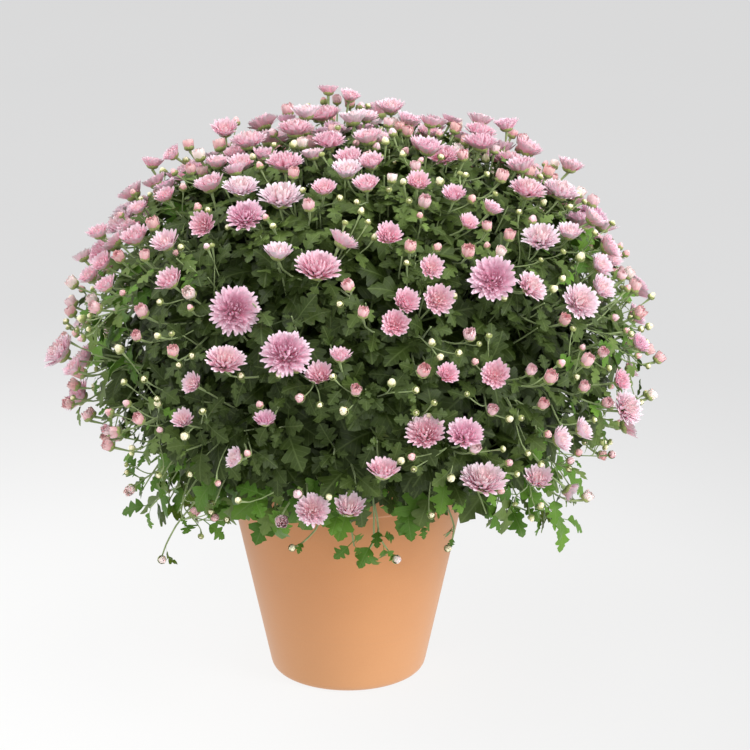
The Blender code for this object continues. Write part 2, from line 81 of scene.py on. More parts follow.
# Clay pot: its outside from the foot up, its wall and the rounding of its corners
POT_HEIGHT = 222 * MM
FOOT_RADIUS = 71.5 * MM
FOOT_INSET = 0.5 * MM
SHOULDER_RADIUS = 110.7 * MM
COLLAR_RADIUS = 114.5 * MM
COLLAR_SLOPE = 2 * MM
RIM_RADIUS = 117 * MM
COLLAR_HEIGHT = 35 * MM
LEDGE_HEIGHT = POT_HEIGHT - COLLAR_HEIGHT
POT_WALL = 9 * MM
FLOOR_THICKNESS = 12 * MM
DRAIN_RADIUS = 11 * MM
FOOT_ROUNDING = 8 * MM
LEDGE_ROUNDING = 1.5 * MM
COLLAR_ROUNDING = 1.6 * MM
RIM_ROUNDING = 4 * MM
FLOOR_ROUNDING = 6 * MM
ROUNDING_STEPS = 6
MOST_ROUNDING = 0.45
POT_SIDES = 112
POT_FACET = 12 * MM

# Soil in it, with crumbs on its top; the dips and crumbs are in millimetres
SOIL_TOP = POT_HEIGHT - 22 * MM
SOIL_GAP = 0.5 * MM
SOIL_RINGS = 26
SOIL_SIDES = 96
SOIL_DIPS = (0.0, 3.2)
SOIL_EDGE_DIP = 0.5 * MM
CRUMB_COUNT = 420
CRUMB_SIZES = (1.2, 4.0)
CRUMB_MARGIN = 6 * MM
CRUMB_SUNK = 1.5 * MM
CRUMB_RISE = 0.2
CRUMB_TURNS = (0, 3)
CRUMB_TILT = 0.3
CRUMB_LUMPS = (0.7, 1.15)

# Bush: a dome of flower heads round a centre above the pot
BUSH_CENTRE = POT_AXIS + Vector((12 * MM, 0, 300 * MM))
BUSH_RADIUS = 268 * MM
BUSH_RISE = 220 * MM
BUSH_DROP = 135 * MM
BUSH_SQUARENESS = 2.1
BLOOM_UNEVENNESS = 9 * MM

# View of the photograph, which places the heads that it shows; pixels are those of its 750 x 750 frame
VIEW_PITCH = math.radians(18.5)
VIEW_DISTANCE = 3.0
VIEW_TARGET = POT_AXIS + Vector((25 * MM, 0, 286 * MM))
FRAME_PIXELS = 750
VIEW_CENTRE_PIXEL = 375
PIXEL = 0.917 * MM
RAY_STEP = 2 * MM

# Heads that the photograph shows: x and y in pixels, and width in millimetres
SEEN_HEADS = (
    (326, 110, 32), (330, 96, 20), (347, 96, 20), (353, 119, 27), (295, 129, 34), (266, 122, 30),
    (285, 113, 18), (225, 130, 26), (248, 141, 34), (220, 147, 18), (173, 154, 20), (188, 147, 16),
    (153, 163, 22), (200, 157, 18), (191, 171, 15), (213, 183, 28), (232, 172, 22), (243, 188, 32),
    (285, 163, 34), (292, 177, 16), (279, 195, 40), (246, 216, 33), (309, 207, 16), (324, 189, 22),
    (347, 171, 28), (366, 185, 24), (371, 163, 24), (134, 192, 28), (153, 183, 24), (166, 196, 20),
    (138, 209, 20), (203, 225, 24), (117, 240, 22), (136, 237, 28), (153, 226, 18), (166, 243, 26),
    (103, 263, 22), (120, 258, 16), (90, 276, 22), (145, 257, 15), (170, 281, 26), (105, 288, 22),
    (190, 294, 18), (235, 310, 42), (278, 253, 26), (342, 242, 29), (319, 267, 40), (143, 313, 18),
    (349, 287, 16), (363, 314, 15), (72, 313, 16), (98, 306, 18), (391, 108, 26), (408, 121, 24),
    (437, 122, 22), (428, 148, 28), (463, 157, 16), (418, 183, 22), (424, 203, 18), (454, 195, 22),
    (481, 143, 32), (483, 121, 26), (504, 125, 24), (528, 149, 28), (492, 209, 20), (468, 223, 19),
    (487, 228, 14), (509, 237, 16), (468, 253, 18), (500, 253, 15), (393, 238, 24), (406, 246, 16),
    (431, 268, 22), (493, 279, 40), (531, 287, 30), (541, 238, 34), (528, 190, 34), (561, 191, 34),
    (521, 166, 28), (570, 166, 26), (593, 219, 24), (569, 233, 24), (580, 302, 34), (601, 288, 26),
    (600, 266, 24), (608, 247, 26), (438, 300, 28), (406, 302, 24), (395, 324, 25), (564, 321, 16),
    (638, 314, 18), (634, 288, 18), (470, 336, 17), (495, 375, 26), (424, 372, 18), (446, 374, 20),
    (532, 372, 15), (548, 378, 18), (586, 362, 18), (602, 353, 15), (542, 405, 15), (492, 411, 15),
    (429, 433, 34), (461, 434, 32), (483, 479, 40), (538, 479, 26), (561, 439, 24), (581, 431, 22),
    (626, 405, 32), (621, 384, 20), (606, 403, 15), (583, 388, 15), (475, 451, 15), (383, 471, 28),
    (571, 491, 20), (585, 497, 15), (658, 359, 16), (650, 396, 15), (225, 361, 34), (290, 355, 42),
    (317, 371, 24), (338, 358, 20), (356, 391, 15), (193, 384, 20), (173, 353, 16), (265, 420, 20),
    (183, 420, 20), (140, 420, 16), (236, 458, 20), (312, 510, 30), (349, 508, 28), (281, 521, 18),
    (193, 514, 14), (66, 339, 16), (74, 368, 22), (70, 404, 16), (117, 432, 16), (110, 446, 16),
    (131, 489, 15),
)

# Which way some of them face in the picture: to the right, up and towards the eye
SEEN_FACINGS = {
    (342, 242): (0.5, 0.8, 0.05), (278, 253): (0.05, 0.85, 0.4), (319, 267): (0.1, 0.75, 0.6),
    (235, 310): (0.1, 0.15, 1.0), (290, 355): (0.0, 0.5, 0.85), (225, 361): (0.1, 0.7, 0.6),
    (243, 188): (0.0, 0.85, 0.5), (246, 216): (-0.1, 0.6, 0.75), (203, 225): (-0.3, 0.2, 0.9),
    (170, 281): (-0.45, 0.6, 0.55), (190, 294): (-0.3, 0.4, 0.85), (317, 371): (-0.1, 0.6, 0.75),
    (338, 358): (0.1, 0.85, 0.5), (406, 302): (0.3, 0.4, 0.8), (395, 324): (0.0, 0.2, 1.0),
    (438, 300): (0.2, 0.2, 0.95), (431, 268): (0.2, 0.3, 0.9), (393, 238): (0.1, 0.5, 0.8),
    (493, 279): (0.0, 0.25, 0.95), (531, 287): (0.55, 0.5, 0.6), (541, 238): (0.0, 0.7, 0.7),
    (569, 233): (0.1, 0.8, 0.5), (580, 302): (0.35, 0.4, 0.8), (593, 219): (0.6, 0.6, 0.3),
    (601, 288): (0.6, 0.4, 0.6), (600, 266): (0.55, 0.45, 0.55), (608, 247): (0.8, 0.4, 0.3),
    (495, 375): (0.0, 0.2, 1.0), (429, 433): (-0.1, 0.6, 0.75), (461, 434): (0.1, 0.6, 0.7),
    (483, 479): (0.1, 0.75, 0.6), (538, 479): (0.1, 0.6, 0.7), (383, 471): (0.1, 0.8, 0.55),
    (312, 510): (0.1, 0.35, 0.9), (349, 508): (0.1, 0.7, 0.65), (281, 521): (0.2, -0.1, 0.9),
    (236, 458): (-0.75, 0.3, 0.5), (265, 420): (0.0, 0.7, 0.6), (193, 384): (-0.5, 0.3, 0.7),
    (183, 420): (-0.2, 0.5, 0.8), (626, 405): (0.6, 0.3, 0.7), (326, 110): (-0.2, 0.95, 0.3),
    (295, 129): (0.0, 0.95, 0.3), (248, 141): (-0.1, 0.95, 0.3), (285, 163): (0.0, 0.9, 0.45),
    (279, 195): (0.0, 0.85, 0.55), (481, 143): (0.1, 0.95, 0.35), (528, 190): (0.2, 0.85, 0.5),
    (561, 191): (0.3, 0.85, 0.4), (418, 183): (0.1, 0.6, 0.7), (347, 171): (0.0, 0.8, 0.5),
}

# The palest and the most lilac of them, and the share of the way from pale to lilac that each sort has; some
# are pale partly as painted light, for they sit in shade under the bush
PALE_HEADS = (
    (531, 287), (541, 238), (580, 302), (483, 479), (538, 479), (561, 439), (581, 431), (281, 521),
    (236, 458), (193, 384), (183, 420), (279, 195), (243, 188), (278, 253), (561, 191), (166, 243),
    (626, 405), (347, 171), (601, 288), (600, 266), (569, 233), (312, 510), (349, 508), (353, 119),
    (571, 491), (475, 451), (492, 411), (602, 353), (424, 203), (532, 372), (470, 336),
)
LILAC_HEADS = ((235, 310), (290, 355), (493, 279), (461, 434), (246, 216), (265, 420))
PALE_SHADES = (0.0, 0.22)
ROSE_SHADES = (0.3, 0.72)
LILAC_SHADES = (0.8, 0.98)
ALL_SHADES = (0.0, 0.98)

# Small heads and buds that it shows too, which only the dressed plant has: x, y and width in pixels
SEEN_SMALL = (
    (236, 123, 13), (306, 115, 17), (308, 106, 7), (274, 134, 13), (274, 145, 8), (293, 145, 12),
    (253, 157, 10), (260, 167, 12), (322, 155, 7), (340, 198, 9), (357, 202, 8), (266, 218, 10),
    (345, 223, 7), (303, 190, 8), (338, 128, 7), (368, 106, 8), (451, 121, 22), (366, 117, 24),
    (388, 124, 15), (393, 134, 13), (439, 134, 11), (455, 130, 18), (465, 142, 17), (368, 138, 30),
    (376, 148, 13), (403, 155, 10), (441, 157, 9), (392, 180, 15), (389, 190, 7), (416, 168, 16),
    (460, 174, 7), (487, 174, 8), (501, 178, 20), (440, 182, 13), (409, 201, 7), (420, 216, 10),
    (471, 200, 13), (495, 194, 7), (361, 212, 10), (374, 238, 10), (368, 222, 8), (340, 304, 9),
    (241, 376, 9), (279, 375, 9), (333, 377, 9), (300, 398, 14), (260, 405, 11), (320, 405, 8),
    (344, 411, 13), (296, 368, 17), (203, 411, 8), (543, 404, 14), (509, 419, 11), (521, 418, 7),
    (503, 449, 8), (528, 453, 8), (508, 463, 11), (451, 478, 12), (517, 474, 8), (570, 461, 12),
    (578, 453, 12), (500, 490, 12), (531, 517, 10), (515, 504, 6), (547, 434, 12), (541, 464, 9),
    (137, 337, 15), (120, 350, 14), (160, 302, 9), (179, 365, 8), (192, 356, 8), (124, 382, 9),
    (73, 398, 8), (90, 316, 8), (89, 329, 8), (77, 330, 7), (83, 319, 13), (157, 399, 8),
    (83, 338, 12), (123, 293, 10), (172, 334, 7), (158, 404, 12), (111, 413, 13), (160, 430, 10),
    (132, 453, 8), (185, 436, 13), (159, 475, 9), (201, 536, 7), (202, 412, 7), (128, 404, 12),
    (519, 212, 8), (543, 203, 10), (532, 221, 13), (595, 233, 9), (563, 252, 7), (580, 258, 14),
    (562, 279, 10), (553, 289, 12), (541, 260, 6), (570, 207, 9), (573, 329, 7), (621, 277, 15),
    (627, 289, 11), (614, 318, 12), (641, 329, 9), (631, 334, 9), (639, 344, 22), (637, 356, 10),
    (582, 348, 10), (560, 364, 12), (609, 368, 8), (577, 377, 8), (648, 366, 8), (594, 420, 8),
    (641, 402, 8), (512, 135, 15), (522, 141, 18), (519, 150, 13), (545, 165, 10), (554, 166, 15),
    (540, 177, 9), (578, 194, 11), (584, 202, 8), (592, 203, 20), (407, 263, 8), (437, 248, 13),
    (487, 246, 10), (454, 296, 9), (504, 298, 9), (489, 336, 7), (479, 344, 6), (459, 353, 9),
    (440, 357, 11), (198, 209, 13), (183, 188, 12), (175, 173, 11), (186, 160, 9), (208, 210, 9),
    (181, 247, 9), (176, 253, 10), (212, 246, 7), (228, 227, 8), (475, 362, 11), (416, 390, 9),
    (434, 403, 7), (416, 413, 7), (428, 417, 11), (467, 394, 6), (401, 461, 11), (412, 457, 12),
    (414, 469, 7), (298, 494, 14), (329, 497, 10), (262, 532, 8), (211, 512, 8), (337, 101, 15),
    (350, 104, 17), (324, 102, 12), (360, 108, 14),
)

# How much deeper than the dome's skin a small head may sit where there is no room
SMALL_DEPTHS = (0, 5 * MM, 10 * MM, 15 * MM, 20 * MM)

# Heads that it doesn't show, and buds, scattered where there is room; widths are in millimetres
HEAD_COUNT = 222
HEAD_WIDTHS = (15, 17, 20, 22, 24, 27, 30, 32, 34, 36)
BUD_COUNT = 50
BUD_WIDTHS = (8, 9, 10, 11)
DARTS = 30000
LOWEST_HEAD = -0.34
SEEN_FACING = 0.2
HEAD_SPACING = 1.12
BUD_SPACING = 1.0
HEAD_CLEARANCE = 1.2 * MM
SPREAD_ROUNDS = 40
PUSH_SHARE = 0.52
FACE_UPWARD = 0.85
FACE_WANDER = 0.3

# Sprays: heads on stalks that meet in one fork
SPRAY_COUNT = 54
GROUPING_ROUNDS = 8
FORK_LEVEL = 0.84
FORK_LENGTH = 14 * MM

# Heads on the crown and the hidden sides that only the dressed plant has: how many, lowest direction, widths
EXTRA_HEADS = (
    (70, 0.42, (22, 26, 30, 34)), (70, 0.25, (14, 16, 18, 21, 25)), (40, LOWEST_HEAD, (13, 15, 18)),
)
EXTRA_HEAD_LEVELS = (0.94, 0.985)
EXTRA_HEAD_SPACING = 0.80
CROWN_PIXEL = 165

# Buds on the hidden sides, beside and a little below the heads
EXTRA_BUD_COUNT = 150
EXTRA_BUD_WIDTHS = (5.5, 6.5, 7, 8, 9, 10, 12)
BUD_ASIDE = (1 * MM, 12 * MM)
BUD_BELOW = (0, 16 * MM)
HIGHEST_BUD = 1.01

# Stems that stand in the soil
STEM_COUNT = 5
STEM_RADIUS = 4.5 * MM
STEM_TAPER = 0.8
STEM_RING = 34 * MM
STEM_LEAN = 0.5
STEM_TURN = 0.3
STEM_TOP = 257 * MM
STEM_SUNK = 6 * MM
STEM_POINTS = 8

# Branches of the sprays and leafy shoots: radii at both ends, and the levels of the dome where shoots end
BRANCH_RADII = (2.6 * MM, 1.7 * MM)
BRANCH_SPREAD = 0.5
SHOOT_RADII = (2.2 * MM, 0.6 * MM)
PATH_POINTS = 12
CURVE_PULL = 0.36
SHOOT_COUNT = 250
LOWEST_SHOOT = -0.6
SHOOT_WANDER = 0.06
SHOOT_RISE = 0.25
SHOOT_LEVELS = (0.83, 0.972)
LOW_SHOOT_LOSS = 0.2
CROWN_SHOOTS = 90
LOWEST_CROWN_SHOOT = 0.35
CROWN_LEVELS = (0.90, 0.985)

# Shoots that droop over the pot's rim: how many, and how far from its axis and how high their tips are
FRINGE_COUNT = 64
FRINGE_REACH = (145 * MM, 208 * MM)
FRINGE_HEIGHTS = (172 * MM, 222 * MM)
FRINGE_FRONT_LIFT = 42 * MM
FRINGE_WANDER = 0.1
FRINGE_OUTWARD = 0.6

# Leaves of each sort of shoot: how many, how long from the tip inward, and how far apart
SHOOT_LEAVES = 13
LEAF_SIZES = (9 * MM, 44 * MM)
FRINGE_LEAVES = 9
FRINGE_LEAF_SIZES = (15 * MM, 42 * MM)
BRANCH_LEAVES = 8
BRANCH_LEAF_SIZES = (26 * MM, 46 * MM)
STALK_LEAVES = 3
STALK_LEAF_SIZES = (9 * MM, 22 * MM)
LEAF_SPACING = 11 * MM
STALK_SPACING = 12 * MM

# How far from the tip the first leaf is
FIRST_LEAF = 2 * MM
BRANCH_FIRST_LEAF = 12 * MM
STALK_FIRST_LEAF = 5 * MM
HANGING_FIRST_LEAF = 14 * MM

# How leaves grow along a shoot: the first are small, close together and near its line
LEAF_AGEING = 1.6
LEAF_SIZE_RANGE = (0.75, 1.1)
LEAF_SPACING_RANGE = (0.7, 1.3)
YOUNG_SPACING = 0.25
LEAF_ANGLES = (0.55, 1.25)
YOUNG_ANGLE = 0.5
ANGLE_GROWTH = 0.6

# How a leaf is turned, and turned on until it has room
LEAF_TRIES = 5
LEAF_TWIST = 0.3
RETRY_TURN = 0.9
LEAF_DROOP = 0.45
LEAF_WANDER = 0.5
LEAF_UPWARD = 0.5
LEAST_LEAF_RISE = 0.1
EDGE_ON = 0.96
LEAF_PROBES = (0.3, 0.65, 0.95)
LEAF_GAP = 1.5 * MM
POT_CLEARANCE = 4 * MM
NEAREST_HEADS = 3
LEAF_VARIANTS = 12
LEAF_SECTORS = 6

# Which leaves are pale: those near the dome's skin, partly as young growth and partly as painted light, with
# the deeper ones left dark as painted shade; many low outer leaves get a bright green of painted back-light;
# the thinner leaves along the outline that the photograph shows are paler with painted light, and some get
# painted back-light; the crown's are a little paler, painted light too
YOUNG_AND_LIT_LEVELS = (0.78, 1.0)
YOUNG_AND_LIT_SHARE = 0.72
YOUNG_AND_LIT_TINTS = (0.3, 1.0)
BACKLIT_DEPTH = 40 * MM
BACKLIT_SHARE = 0.75
AIRY_FROM = 0.62
AIRY_LOSS = 0.72
AIRY_TOP = 130 * MM
AIRY_BACKLIT = 0.5
CROWN_PALER = 0.3

# What a tint adds to a head's or leaf's own number: warm pink, cream or pale petals, or a leaf's bright green
# of painted back-light
TINT_WARM = 1
TINT_CREAM = 2
TINT_PALE = 3
TINT_BACKLIT = 1
TOP_TINT = 0.98
TINT_MARGIN = 0.01

# Stalks that hang in front of the pot: pixels of the photograph from the bush down to the tip, millimetres in
# front of the pot's axis, width and tint of the bud or small flower at the tip, and number of leaves
HANGING = (
    # The first bud's pale tint is partly painted light, for it hangs in shade under the bush
    (((370, 478), (377, 517), (381, 540), (394, 559)), 142, 12.5, TINT_PALE, 4),
    (((372, 482), (374, 520), (372, 545), (359, 563)), 147, 7, TINT_CREAM, 3),
    (((330, 486), (316, 529), (302, 543), (292, 548)), 142, 10, TINT_CREAM, 1),
    (((440, 490), (454, 526), (452, 540), (447, 548)), 125, 10, TINT_CREAM, 2),
    (((205, 490), (176, 526), (166, 545), (161, 559)), 64, 12, TINT_PALE, 1),
    (((400, 480), (412, 505), (423, 524)), 140, 0, 0, 3),
    (((345, 480), (350, 520), (354, 546)), 140, 0, 0, 3),
    (((440, 470), (490, 498), (520, 508), (542, 518)), 90, 0, 0, 5),
    (((500, 470), (535, 492), (552, 510), (563, 522)), 50, 0, 0, 5),
    (((215, 470), (180, 486), (160, 497), (150, 508)), 60, 0, 0, 4),
)
FORWARD = Vector((0, -1, 0))
HANGING_TURN = Vector((0.5, 0, 0.35))
HANGING_FOLLOWS_STALK = 0.5
HANGING_LEAF_SIZES = (12 * MM, 20 * MM)
SIDE_LEAF_SIZES = (18 * MM, 32 * MM)


def clamped(value):
    """A value held between 0 and 1."""
    return min(1.0, max(0.0, value))


def round_point(radius, angle, height=0.0):
    """The point at a radius, an angle and a height about the Z axis."""
    return Vector((radius * math.cos(angle), radius * math.sin(angle), height))


def ring_angles(sides):
    """The angles of the corners of a ring."""
    return [FULL_TURN * i / sides for i in range(sides)]


class Head:
    """A flower head or bud: where its middle is, how wide it is, which way it faces and its shades."""

    def __init__(self, place, width):
        self.place = place
        self.width = width
        self.facing = UP
        self.shades = ALL_SHADES


def dome_size(height):
    """The dome's vertical half-axis on the side of its centre that this height is on."""
    return BUSH_DROP if height < 0 else BUSH_RISE


def dome_level(out):
    """How far out a step from the dome's centre reaches, where 1 is on the dome."""
    flat = math.hypot(out.x, out.y) / BUSH_RADIUS
    tall = abs(out.z) / dome_size(out.z)
    return (flat**BUSH_SQUARENESS + tall**BUSH_SQUARENESS) ** (1 / BUSH_SQUARENESS)


def dome_point(direction, level=1.0):
    """The point in a direction from the dome's centre where the dome, or a smaller one in it, is met."""
    return BUSH_CENTRE + direction * (level / dome_level(direction))


def dome_normal(place):
    """The way out of the dome at a place on it."""
    out = place - BUSH_CENTRE
    flat = math.hypot(out.x, out.y)
    tall = dome_size(out.z)
    power = BUSH_SQUARENESS - 1
    rise = math.copysign((abs(out.z) / tall) ** power / tall, out.z)
    spread = (flat / BUSH_RADIUS) ** power / BUSH_RADIUS / max(flat, MM)
    return Vector((out.x * spread, out.y * spread, rise)).normalized()


def view_axes():
    """The eye's place and the picture's right and up."""
    back = Vector((0, -math.cos(VIEW_PITCH), math.sin(VIEW_PITCH)))
    up = Vector((0, math.sin(VIEW_PITCH), math.cos(VIEW_PITCH)))
    return VIEW_TARGET + back * VIEW_DISTANCE, Vector((1, 0, 0)), up


def toward_eye():
    """The way from the middle of the view to the eye."""
    return (view_axes()[0] - VIEW_TARGET).normalized()


def view_ray(x, y):
    """The eye's place, and the way from it to a pixel of the photograph."""
    eye, right, up = view_axes()
    across = (x - VIEW_CENTRE_PIXEL) * PIXEL
    rise = (VIEW_CENTRE_PIXEL - y) * PIXEL
    return eye, (VIEW_TARGET + right * across + up * rise - eye).normalized()


def outline_share(place):
    """How near a place is to the dome's outline in the photograph: 0 in its middle, 1 on its outline."""
    back = toward_eye()
    out = place - BUSH_CENTRE
    return dome_level(out - back * out.dot(back))


def faces_eye(place):
    """True where the photograph shows the dome's skin at a place."""
    return dome_normal(place).dot((view_axes()[0] - place).normalized()) > SEEN_FACING


def point_in_picture(x, y, depth):
    """The place that the photograph shows at a pixel, depth behind the dome's skin or its nearest place."""
    eye, ray = view_ray(x, y)
    start = VIEW_DISTANCE - 2 * BUSH_RADIUS
    steps = [start + i * RAY_STEP for i in range(int(3 * BUSH_RADIUS / RAY_STEP))]
    levels = [dome_level(eye + ray * step - BUSH_CENTRE) for step in steps]
    inside = [step for step, level in zip(steps, levels) if level <= 1]
    nearest = inside[0] if inside else steps[levels.index(min(levels))]
    return eye + ray * (nearest + depth)


def random_direction(rng, lowest):
    """A direction whose height is at least lowest, all alike likely."""
    height = rng.uniform(lowest, 1)
    turn = rng.uniform(0, FULL_TURN)
    return round_point(math.sqrt(1 - height**2), turn, height)


def spiral_direction(i, count, lowest):
    """The i-th of count directions spread evenly from straight up down to lowest."""
    height = 1 - (i + 0.5) / count * (1 - lowest)
    return round_point(math.sqrt(1 - height**2), GOLDEN * i, height)


def clear_of(place, width, heads, spacing):
    """True if a head of this width has room here."""
    return all(
        (place - other.place).length > spacing * (width + other.width) / 2 + HEAD_CLEARANCE
        for other in heads
    )


def tries_for(found, wanted):
    """Numbers of tries, until as many are found as are wanted or the darts run out."""
    for dart in range(DARTS):
        if len(found) == wanted:
            return
        yield dart


def scatter(heads, count, widths, spacing, hidden_only, rng):
    """Adds up to count heads at random places of the dome where there is room."""
    for _ in tries_for(heads, len(heads) + count):
        place = dome_point(random_direction(rng, LOWEST_HEAD))
        if hidden_only and faces_eye(place):
            continue
        place += dome_normal(place) * rng.uniform(-1, 1) * BLOOM_UNEVENNESS
        width = rng.choice(widths) * MM
        if clear_of(place, width, heads, spacing):
            heads.append(Head(place, width))


def push_apart(heads):
    """Moves heads that would meet until each has its own room."""
    for _ in range(SPREAD_ROUNDS):
        moved = False
        for first, second in itertools.combinations(heads, 2):
            apart = second.place - first.place
            short = (first.width + second.width) / 2 + HEAD_CLEARANCE - apart.length
            if short > 0:
                push = apart.normalized() * short * PUSH_SHARE
                first.place -= push
                second.place += push
                moved = True
        if not moved:
            return


def face_outward(heads, rng):
    """Turns heads out of the dome and upward, each a little its own way."""
    for head in heads:
        wander = Vector([rng.gauss(0, FACE_WANDER) for _ in range(3)])
        head.facing = (dome_normal(head.place) + UP * FACE_UPWARD + wander).normalized()


def show_as_seen(heads):
    """Turns and shades the heads that the photograph shows as they are there."""
    _, right, up = view_axes()
    for (x, y, _), head in zip(SEEN_HEADS, heads):
        if (x, y) in SEEN_FACINGS:
            sideways, upward, nearer = SEEN_FACINGS[x, y]
            head.facing = (right * sideways + up * upward + toward_eye() * nearer).normalized()
        # Pale shades are partly painted light on seen heads that sit in shade under the bush
        if (x, y) in PALE_HEADS:
            head.shades = PALE_SHADES
        elif (x, y) in LILAC_HEADS:
            head.shades = LILAC_SHADES
        else:
            head.shades = ROSE_SHADES


def grow_heads():
    """Every flower head and bud that the solids have, the seen ones first."""
    rng = random.Random(HEAD_SEED)
    heads = []
    for x, y, width in SEEN_HEADS:
        depth = rng.uniform(-1, 1) * BLOOM_UNEVENNESS
        heads.append(Head(point_in_picture(x, y, depth), width * MM))
    scatter(heads, HEAD_COUNT - len(heads), HEAD_WIDTHS, HEAD_SPACING, True, rng)
    push_apart(heads)
    scatter(heads, BUD_COUNT, BUD_WIDTHS, BUD_SPACING, False, rng)
    face_outward(heads, rng)
    show_as_seen(heads)
    return heads


def nearest_centre(head, centres):
    """The number of the centre that a head is nearest to, both seen from the dome's centre."""
    out = (head.place - BUSH_CENTRE).normalized()
    return max(range(len(centres)), key=lambda i: out.dot(centres[i]))


def group_into_sprays(heads):
    """Centres of the sprays and their heads: each centre moves to the middle of what is nearest it."""
    centres = [spiral_direction(i, SPRAY_COUNT, LOWEST_HEAD) for i in range(SPRAY_COUNT)]
    for _ in range(GROUPING_ROUNDS):
        groups = [[] for _ in centres]
        for head in heads:
            groups[nearest_centre(head, centres)].append(head)
        for i, group in enumerate(groups):
            middle = sum((head.place - BUSH_CENTRE for head in group), Vector())
            centres[i] = middle.normalized() if group else centres[i]
    return [(centre, group) for centre, group in zip(centres, groups) if group]


def pixel_row(place):
    """How far down the photograph a place is, in pixels."""
    eye, _, up = view_axes()
    out = place - eye
    return VIEW_CENTRE_PIXEL - out.dot(up) / -out.dot(toward_eye()) * VIEW_DISTANCE / PIXEL


def free_to_fill(place):
    """True on the crown and on the sides that the photograph doesn't show."""
    return not faces_eye(place) or pixel_row(place) < CROWN_PIXEL


def small_heads(heads):
    """The small heads and buds that the photograph shows, a little deeper where there is no room."""
    found = []
    for x, y, pixels in SEEN_SMALL:
        width = pixels * PIXEL
        for depth in SMALL_DEPTHS:
            place = point_in_picture(x, y, depth)
            if clear_of(place, width, heads + found, EXTRA_HEAD_SPACING):
                break
        found.append(Head(place, width))
    face_outward(found, random.Random(SMALL_HEAD_SEED))
    return found


def fill_room(heads):
    """Heads in the room that the others leave."""
    rng = random.Random(EXTRA_HEAD_SEED)
    found = []
    for count, lowest, widths in EXTRA_HEADS:
        for _ in tries_for(found, len(found) + count):
            place = dome_point(random_direction(rng, lowest), rng.uniform(*EXTRA_HEAD_LEVELS))
            width = rng.choice(widths) * MM
            if free_to_fill(place) and clear_of(place, width, heads + found, EXTRA_HEAD_SPACING):
                found.append(Head(place, width))
    face_outward(found, rng)
    return found


def side_buds(heads):
    """Buds beside the heads and a little below them, where there is room."""
    rng = random.Random(EXTRA_BUD_SEED)
    found = []
    for _ in tries_for(found, EXTRA_BUD_COUNT):
        host, width = rng.choice(heads), rng.choice(EXTRA_BUD_WIDTHS) * MM
        aside = host.facing.orthogonal().normalized()
        aside.rotate(Quaternion(host.facing, rng.uniform(0, FULL_TURN)))
        reach = (host.width + width) / 2 + HEAD_CLEARANCE + rng.uniform(*BUD_ASIDE)
        place = host.place + aside * reach - host.facing * rng.uniform(*BUD_BELOW)
        if dome_level(place - BUSH_CENTRE) > HIGHEST_BUD or near_pot(place) or not free_to_fill(place):
            continue
        if clear_of(place, width, heads + found, BUD_SPACING):
            found.append(Head(place, width))
    face_outward(found, rng)
    return found


class Nodes:
    """Adds and joins the nodes of one tree. A value is a number, a tuple or another node's output."""

    def __init__(self, tree):
        self.tree = tree

    def add(self, kind, values=None, **settings):
        node = self.tree.nodes.new(kind)
        for name, value in settings.items():
            setattr(node, name, value)
        for key, value in (values or {}).items():
            self.feed(node.inputs[key], value)
        return node

    def feed(self, socket, value):
        if isinstance(value, bpy.types.NodeSocket):
            self.tree.links.new(value, socket)
        else:
            socket.default_value = value

    def math(self, operation, *values, clamp=False):
        settings = {"operation": operation, "use_clamp": clamp}
        return self.add("ShaderNodeMath", dict(enumerate(values)), **settings).outputs[0]

    def spread(self, value, low, high, to_low=0.0, to_high=1.0, **settings):
        """The value's place between low and high, as a number between to_low and to_high."""
        values = {"Value": value, "From Min": low, "From Max": high, "To Min": to_low, "To Max": to_high}
        return self.add("ShaderNodeMapRange", values, **settings).outputs[0]

    def vector(self, x, y, z):
        """A vector of three values."""
        return self.add("ShaderNodeCombineXYZ", {"X": x, "Y": y, "Z": z}).outputs[0]

    def attribute(self, name, data_type="FLOAT"):
        """A named attribute of the geometry."""
        return self.add("GeometryNodeInputNamedAttribute", {"Name": name}, data_type=data_type).outputs[0]

    def instances(self, points, templates, kind, turn, size):
        """Objects of a collection on points, each picked by its kind, turned and sized."""
        choice = {"Collection": templates, "Separate Children": True, "Reset Children": True}
        return self.add("GeometryNodeInstanceOnPoints", {
            "Points": points,
            "Instance": self.add("GeometryNodeCollectionInfo", choice).outputs[0],
            "Pick Instance": True,
            "Instance Index": kind,
            "Rotation": turn,
            "Scale": size,
        }).outputs[0]

    def real(self, instances):
        """Instances made real."""
        return self.add("GeometryNodeRealizeInstances", {"Geometry": instances}).outputs[0]

    def coated(self, geometry, finish):
        """The geometry with a material."""
        return self.add("GeometryNodeSetMaterial", {"Geometry": geometry, "Material": finish}).outputs[0]


def geometry_tree(name, inputs):
    """A new geometry tree with named inputs: its nodes, its input sockets and the socket of its result."""
    tree = bpy.data.node_groups.new(name, "GeometryNodeTree")
    tree.interface.new_socket("Geometry", in_out="OUTPUT", socket_type="NodeSocketGeometry")
    for label, kind in {"Geometry": "Geometry", **inputs}.items():
        tree.interface.new_socket(label, in_out="INPUT", socket_type=f"NodeSocket{kind}")
    nodes = Nodes(tree)
    given = nodes.add("NodeGroupInput").outputs
    return nodes, given, nodes.add("NodeGroupOutput").inputs[0]


def grown(source, tree, values):
    """The plain mesh that a tree makes of an object."""
    modifier = source.modifiers.new("grow", "NODES")
    modifier.node_group = tree
    for item in tree.interface.items_tree:
        if item.in_out == "INPUT" and item.name in values:
            modifier[item.identifier] = values[item.name]
    graph = bpy.context.evaluated_depsgraph_get()
    mesh = bpy.data.meshes.new_from_object(source.evaluated_get(graph))
    source.modifiers.remove(modifier)
    return mesh


def mesh_object(name, mesh):
    """A new object of the scene."""
    made = bpy.data.objects.new(name, mesh)
    bpy.context.scene.collection.objects.link(made)
    return made


